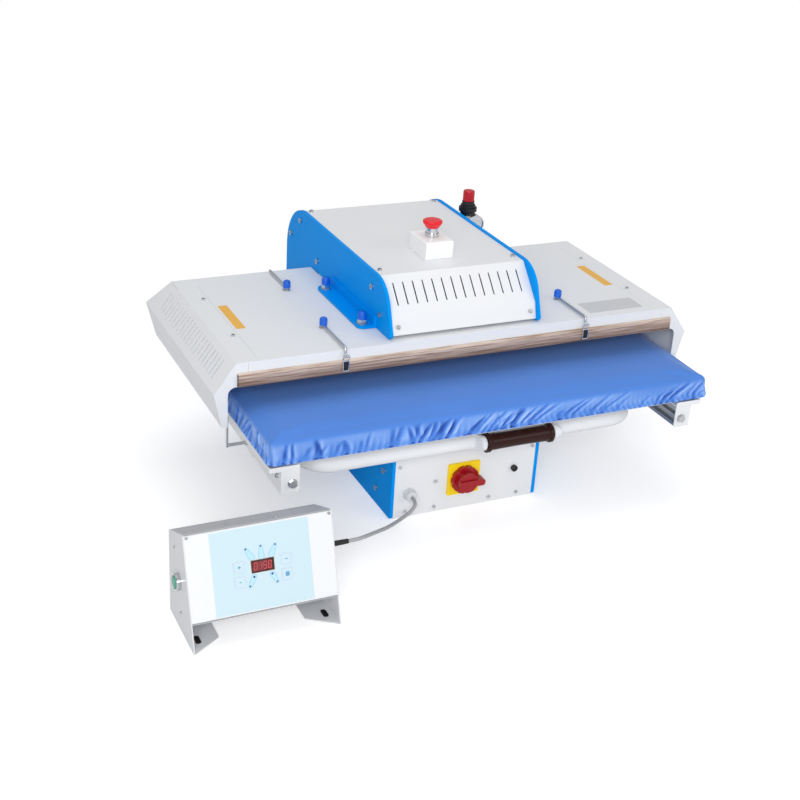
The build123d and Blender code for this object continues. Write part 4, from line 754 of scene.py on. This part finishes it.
def markFrame(across, down, size, line, lift, round):
    frameMark = markBar(across, down, size, size, lift, round=round)
    selectWhere(frameMark, lambda centre, normal: abs(normal.z) > 0.9)
    bpy.ops.mesh.inset(thickness=line)
    bpy.ops.mesh.bridge_edge_loops()
    deselectAll()
    return frameMark


def markDot(across, down, radius, lift):
    bpy.ops.mesh.primitive_cylinder_add(radius=radius, depth=inkDepth, vertices=20,
                                        location=(across, -down, lift))
    dot = bpy.context.object
    settle(dot)
    return dot


def markPointer(tip, tipRadius, base, baseRadius, lift, grow=0.0):
    # A tapered drop between two circles
    run = Vector((tip[0] - base[0], base[1] - tip[1]))
    bpy.ops.mesh.primitive_cylinder_add(radius=1, depth=inkDepth, vertices=28)
    drop = bpy.context.object
    points = meshPoints(drop)
    ahead = points[:, 1] > 1e-4
    radius = np.where(ahead, tipRadius, baseRadius) + grow
    points[:, :2] *= radius[:, None]
    points[ahead, 1] += run.length
    setPoints(drop, points)
    turn = math.atan2(run.y, run.x) - math.pi / 2
    drop.data.transform(Matrix.Translation((base[0], -base[1], lift)) @ Matrix.Rotation(turn, 4, "Z"))
    return drop


segmentBars = {  # across and up in half heights, and whether the bar lies flat
    "a": (0, 1, True), "b": (0.5, 0.5, False), "c": (0.5, -0.5, False), "d": (0, -1, True),
    "e": (-0.5, -0.5, False), "f": (-0.5, 0.5, False), "g": (0, 0, True),
}
digitSegments = {"0": "abcdef", "1": "bc", "5": "acdfg"}
digitSettings = {"flatBar": (4.2, 1.2), "tallBar": (1.2, 5.2), "lean": 0.12, "width": 4.8, "halfHeight": 5.9,
                 "margin": 3.5}


def markDigits(settings, digits, lift):
    left, top, right, bottom = settings["display"]
    middle = (top + bottom) / 2
    bars = {"lit": [], "unlit": []}
    pitch = (right - left - 2 * digits["margin"]) / len(settings["digits"])
    for i, digit in enumerate(settings["digits"]):
        centre = left + digits["margin"] + pitch * (i + 0.5)
        for segment, (across, up, flat) in segmentBars.items():
            rise = up * digits["halfHeight"]
            place = (centre + across * digits["width"] + rise * digits["lean"], middle - rise)
            bar = markBar(*place, *digits["flatBar" if flat else "tallBar"], lift, turn=-digits["lean"])
            bars["lit" if segment in digitSegments[digit] else "unlit"].append(bar)
    return bars


def joinMarks(parts, name, material, plane):
    pick(parts[0])
    for part in parts[1:]:
        part.select_set(True)
    if len(parts) > 1:
        bpy.ops.object.join()
    mark = bpy.context.object
    mark.data.transform(plane @ Matrix.Scale(mm, 4))
    mark.data.update()
    return finishPiece(mark, name, "frame", material)


def printKeypad(settings):
    plane = consolePlane(settings)
    left, top, right, bottom = settings["display"]
    wide, tall = right - left, bottom - top
    centre = (left + wide / 2, top + tall / 2)
    foil, key = settings["foil"] + inkStep, settings["key"] + inkStep
    inks = {
        "rim": ink("displayRimAmber", "#b9774e"), "glass": ink("displayGlassBlack", "#1c0d0f", 0.12),
        "window": ink("displayWindowRed", "#6d1f26", 0.12),
        "unlit": ink("displaySegmentDark", "#8c3238", 0.3),
        "lit": ink("displaySegmentRed", "#cf3a42", 0.3, 0.08), "keyLine": ink("keyLineLilac", "#c4c6e4"),
        "keyMark": ink("keyMarkBlue", "#5b9cc9"), "pointer": ink("pointerBlue", "#b4def2"),
        "pointerEdge": ink("pointerEdgeBlue", "#7fb4d8"), "dot": ink("dotNavy", "#1d3a78"),
    }
    marks = {
        "rim": [markBar(*centre, wide + 1.0, tall + 1.0, foil)],
        "glass": [markBar(*centre, wide - 0.4, tall - 0.4, foil + inkStep)],
        "window": [markBar(centre[0] - 1, centre[1], wide - 6.5, tall - 4.5, foil + 2 * inkStep)],
        "keyLine": [markFrame(*place, 19.0, 0.7, key, 3.5) for place in settings["keys"]],
        "pointerEdge": [markPointer(*shape, foil, 0.7) for shape in settings["pointers"]],
        "pointer": [markPointer(*shape, foil + inkStep) for shape in settings["pointers"]],
        "dot": [markDot(*shape[0], 1.5, foil + 2 * inkStep) for shape in settings["pointers"]],
    }
    marks["dot"] += [markDot(*shape[2], 2.0, foil + 2 * inkStep) for shape in settings["pointers"][3:]]
    bars = markDigits(settings, digitSettings, foil + 3 * inkStep)
    marks["lit"], marks["unlit"] = bars["lit"], bars["unlit"]
    plus, minus, dash, square = settings["keys"]
    marks["keyMark"] = [
        markBar(*plus, 5.5, 1.5, key), markBar(*plus, 1.5, 5.5, key), markBar(*minus, 4.5, 1.3, key),
        markBar(*dash, 5.0, 1.5, key), markBar(*square, 7.0, 7.5, key, round=1.2),
    ]
    for name, parts in marks.items():
        joinMarks(parts, "keypad" + name[0].upper() + name[1:], inks[name], plane)
    print("keypad printed")


printKeypad(consoleSettings)


# Blank labels on the hood and on the head's front
labelSettings = {  # left, right, front and rear in mm
    "amberLeft": (-405, -387, -114, 0, "#eeb234"), "amberRight": (386, 405, -114, 0, "#eeb234"),
    "nameplate": (276, 398, -236, -186, "#c9cbcf"),
}
labelThickness = 0.2 * mm
labelCorner = 1.5 * mm


def makeLabels(settings):
    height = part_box("head_top_panel")[1].z + 0.6 * labelThickness
    for name, (left, right, front, rear, colour) in settings.items():
        middle = ((left + right) / 2 * mm, (front + rear) / 2 * mm, height)
        bpy.ops.mesh.primitive_cube_add(size=1, location=middle)
        label = bpy.context.object
        label.scale = ((right - left) * mm, (rear - front) * mm, labelThickness)
        settle(label)
        selectWhere(label, lambda a, b: abs(a.z - b.z) > 0.0001, "EDGE")
        bpy.ops.mesh.bevel(offset=labelCorner, segments=3, affect="EDGES")
        deselectAll()
        finishPiece(label, name, "frame", ink(name + "Vinyl", colour, 0.3))
    print("labels made")


makeLabels(labelSettings)


# Gauge dial with its scale and needle
dialSettings = {
    "face": 16.8 * mm, "faceDepth": 0.4 * mm, "recess": 3.9 * mm, "ticks": 21, "sweep": 270.0, "start": 225.0,
    "longTick": 3.2 * mm, "shortTick": 1.8 * mm, "tickWidth": 0.5 * mm, "tickDepth": 0.1 * mm,
    "edge": 0.8 * mm, "needle": 12 * mm, "needleRoot": 1.1 * mm, "needleTip": 0.2 * mm, "needleAt": 3 * mm,
}


def makeDial(settings):
    low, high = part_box("regulator_gauge")
    x, z = (low.x + high.x) / 2, (low.z + high.z) / 2
    y = low.y + settings["recess"]
    bpy.ops.mesh.primitive_cylinder_add(radius=settings["face"], depth=settings["faceDepth"], vertices=48,
                                        location=(x, y - settings["faceDepth"] / 2, z),
                                        rotation=(math.radians(90), 0, 0))
    face = bpy.context.object
    settle(face)
    finishPiece(face, "gaugeFace", "frame", ink("dialWhite", "#f2f3f2"))
    parts = []
    for i in range(settings["ticks"]):
        angle = math.radians(settings["start"] - settings["sweep"] * i / (settings["ticks"] - 1))
        long = settings["longTick" if i % 5 == 0 else "shortTick"]
        reach = settings["face"] - settings["edge"] - long / 2
        place = (x + reach * math.cos(angle), y - 0.45 * mm, z + reach * math.sin(angle))
        bpy.ops.mesh.primitive_cube_add(size=1, location=place, rotation=(0, -angle, 0))
        tick = bpy.context.object
        tick.scale = (long, settings["tickDepth"], settings["tickWidth"])
        parts.append(tick)
    needlePlace = (x - settings["needleAt"], y - 0.9 * mm, z + settings["needleAt"])
    bpy.ops.mesh.primitive_cone_add(radius1=settings["needleRoot"], radius2=settings["needleTip"], vertices=8,
                                    depth=settings["needle"], location=needlePlace,
                                    rotation=(0, math.radians(-45), 0))
    parts.append(bpy.context.object)
    pick(parts[0])
    for part in parts[1:]:
        part.select_set(True)
    bpy.ops.object.join()
    marks = bpy.context.object
    settle(marks)
    finishPiece(marks, "gaugeMarks", "frame", ink("dialBlack", "#15161a"))
    print("dial made")


makeDial(dialSettings)


# Painted shade in the slots of the console's feet: a black recessed insert stands for the shade seen through
# each slot
slotShadeSettings = {  # in mm
    "spots": {"Left": (-610.0, -539.0), "Right": (-388.0, -539.0)},
    "size": (9.5, 21.0, 3.2), "round": 4.2, "lip": 1.6, "sink": 2.4,
}


def makeSlotShades(settings):
    shadeBlack = plastic("slotShadeBlack", "#121315", 0.55)
    for name, (x, y) in settings["spots"].items():
        bpy.ops.mesh.primitive_cube_add(size=1, location=(x * mm, y * mm, settings["size"][2] / 2 * mm))
        slotShade = bpy.context.object
        slotShade.scale = [side * mm for side in settings["size"]]
        settle(slotShade)
        selectWhere(slotShade, lambda a, b: abs(a.z - b.z) > 0.001, "EDGE")
        bpy.ops.mesh.bevel(offset=settings["round"] * mm, segments=6, affect="EDGES")
        selectWhere(slotShade, lambda centre, normal: normal.z > 0.9)
        bpy.ops.mesh.inset(thickness=settings["lip"] * mm)
        bpy.ops.mesh.extrude_region_move(TRANSFORM_OT_translate={"value": (0, 0, -settings["sink"] * mm)})
        deselectAll()
        smooth(slotShade, 40)
        finishPiece(slotShade, "slotShade" + name, "frame", shadeBlack)
    print("slotShades made")


makeSlotShades(slotShadeSettings)


# Every other solid keeps its mesh and takes the finish of its slot
def dressCarried():
    stoodFor = set(hardPieces) | {"signal_cable", "buck_pad", "release_sheet", "sheet_clips"}
    for name, slotName in slots.items():
        if name not in stoodFor:
            node = frame["nodes"][name]
            node.data.materials.clear()
            node.data.materials.append(finishes[slotName])


dressCarried()


# Floor, lamps and the white surroundings
stageSettings = {
    "size": 14.0, "floorColour": "#f3f3f4", "skyStrength": 0.48,
    "near": 0.9, "far": 2.2, "lift": 0.35,  # the paper turns to plain white between near and far
}


def seenDirectly(material):
    path = addNode(material, "ShaderNodeLightPath")
    return addNode(material, "ShaderNodeMath", {"operation": "MAXIMUM"},
                   {0: path.outputs["Is Camera Ray"], 1: path.outputs["Is Transmission Ray"]})


def makeFloor(settings):
    bpy.ops.mesh.primitive_plane_add(size=settings["size"], location=(0, 0, -0.0006))
    floor = bpy.context.object
    floor.name = "studioFloor"
    settle(floor)
    # White paper sweep: matt, keeps the shadow near the press and turns to plain white further out
    material = newMaterial("whitePaperSweep")
    paper = addNode(material, "ShaderNodeBsdfDiffuse", {"Color": toLinear(settings["floorColour"])})
    place = addNode(material, "ShaderNodeTexCoord").outputs["Object"]
    away = addNode(material, "ShaderNodeVectorMath", {"operation": "LENGTH"}, {0: place})
    far = addNode(material, "ShaderNodeMapRange",
                  {"interpolation_type": "SMOOTHSTEP", "From Min": settings["near"],
                   "From Max": settings["far"]},
                  {"Value": away.outputs["Value"]})
    seen = seenDirectly(material)
    lift = addNode(material, "ShaderNodeMath", {"operation": "MULTIPLY", 1: settings["lift"]},
                   {0: seen.outputs[0]})
    glow = addNode(material, "ShaderNodeEmission", {"Color": (1, 1, 1, 1)}, {"Strength": lift.outputs[0]})
    near = addNode(material, "ShaderNodeAddShader", None, {0: paper.outputs[0], 1: glow.outputs[0]})
    white = addNode(material, "ShaderNodeEmission", {"Color": (1, 1, 1, 1)})
    share = addNode(material, "ShaderNodeMath", {"operation": "MULTIPLY"},
                    {0: far.outputs[0], 1: seen.outputs[0]})
    finishMaterial(material, addNode(material, "ShaderNodeMixShader", None,
                                     {0: share.outputs[0], 1: near.outputs[0], 2: white.outputs[0]}))
    floor.data.materials.append(material)


def makeWorld(settings):
    world = bpy.data.worlds.new("studio")
    bpy.context.scene.world = world
    world.use_nodes = True
    world.node_tree.nodes.clear()
    seen = seenDirectly(world)
    strength = addNode(world, "ShaderNodeMapRange", {"To Min": settings["skyStrength"], "To Max": 1.0},
                       {"Value": seen.outputs[0]})
    sky = addNode(world, "ShaderNodeBackground", {"Color": (1, 1, 1, 1)}, {"Strength": strength.outputs[0]})
    output = addNode(world, "ShaderNodeOutputWorld")
    world.node_tree.links.new(sky.outputs[0], output.inputs["Surface"])


lamps = {
    "keyLamp": {"place": (-1.7, -3.3, 1.8), "aim": (0, -0.1, 0.25), "size": 1.6, "power": 68.0},
    "fillLamp": {"place": (2.4, -2.8, 1.8), "aim": (0, -0.1, 0.25), "size": 2.2, "power": 20.0},
    "topLamp": {"place": (0.0, 0.4, 3.4), "aim": (0, 0, 0.3), "size": 2.4, "power": 28.0},
}


def makeLamps(settings):
    for name, lamp in settings.items():
        data = bpy.data.lights.new(name, "AREA")
        data.size = lamp["size"]
        data.energy = lamp["power"]
        light = bpy.data.objects.new(name, data)
        way = Vector(lamp["aim"]) - Vector(lamp["place"])
        light.location = lamp["place"]
        light.rotation_euler = way.to_track_quat("-Z", "Y").to_euler()
        bpy.context.scene.collection.objects.link(light)


makeFloor(stageSettings)
makeWorld(stageSettings)
makeLamps(lamps)
bpy.context.scene.view_settings.view_transform = "Standard"
print("stage made")
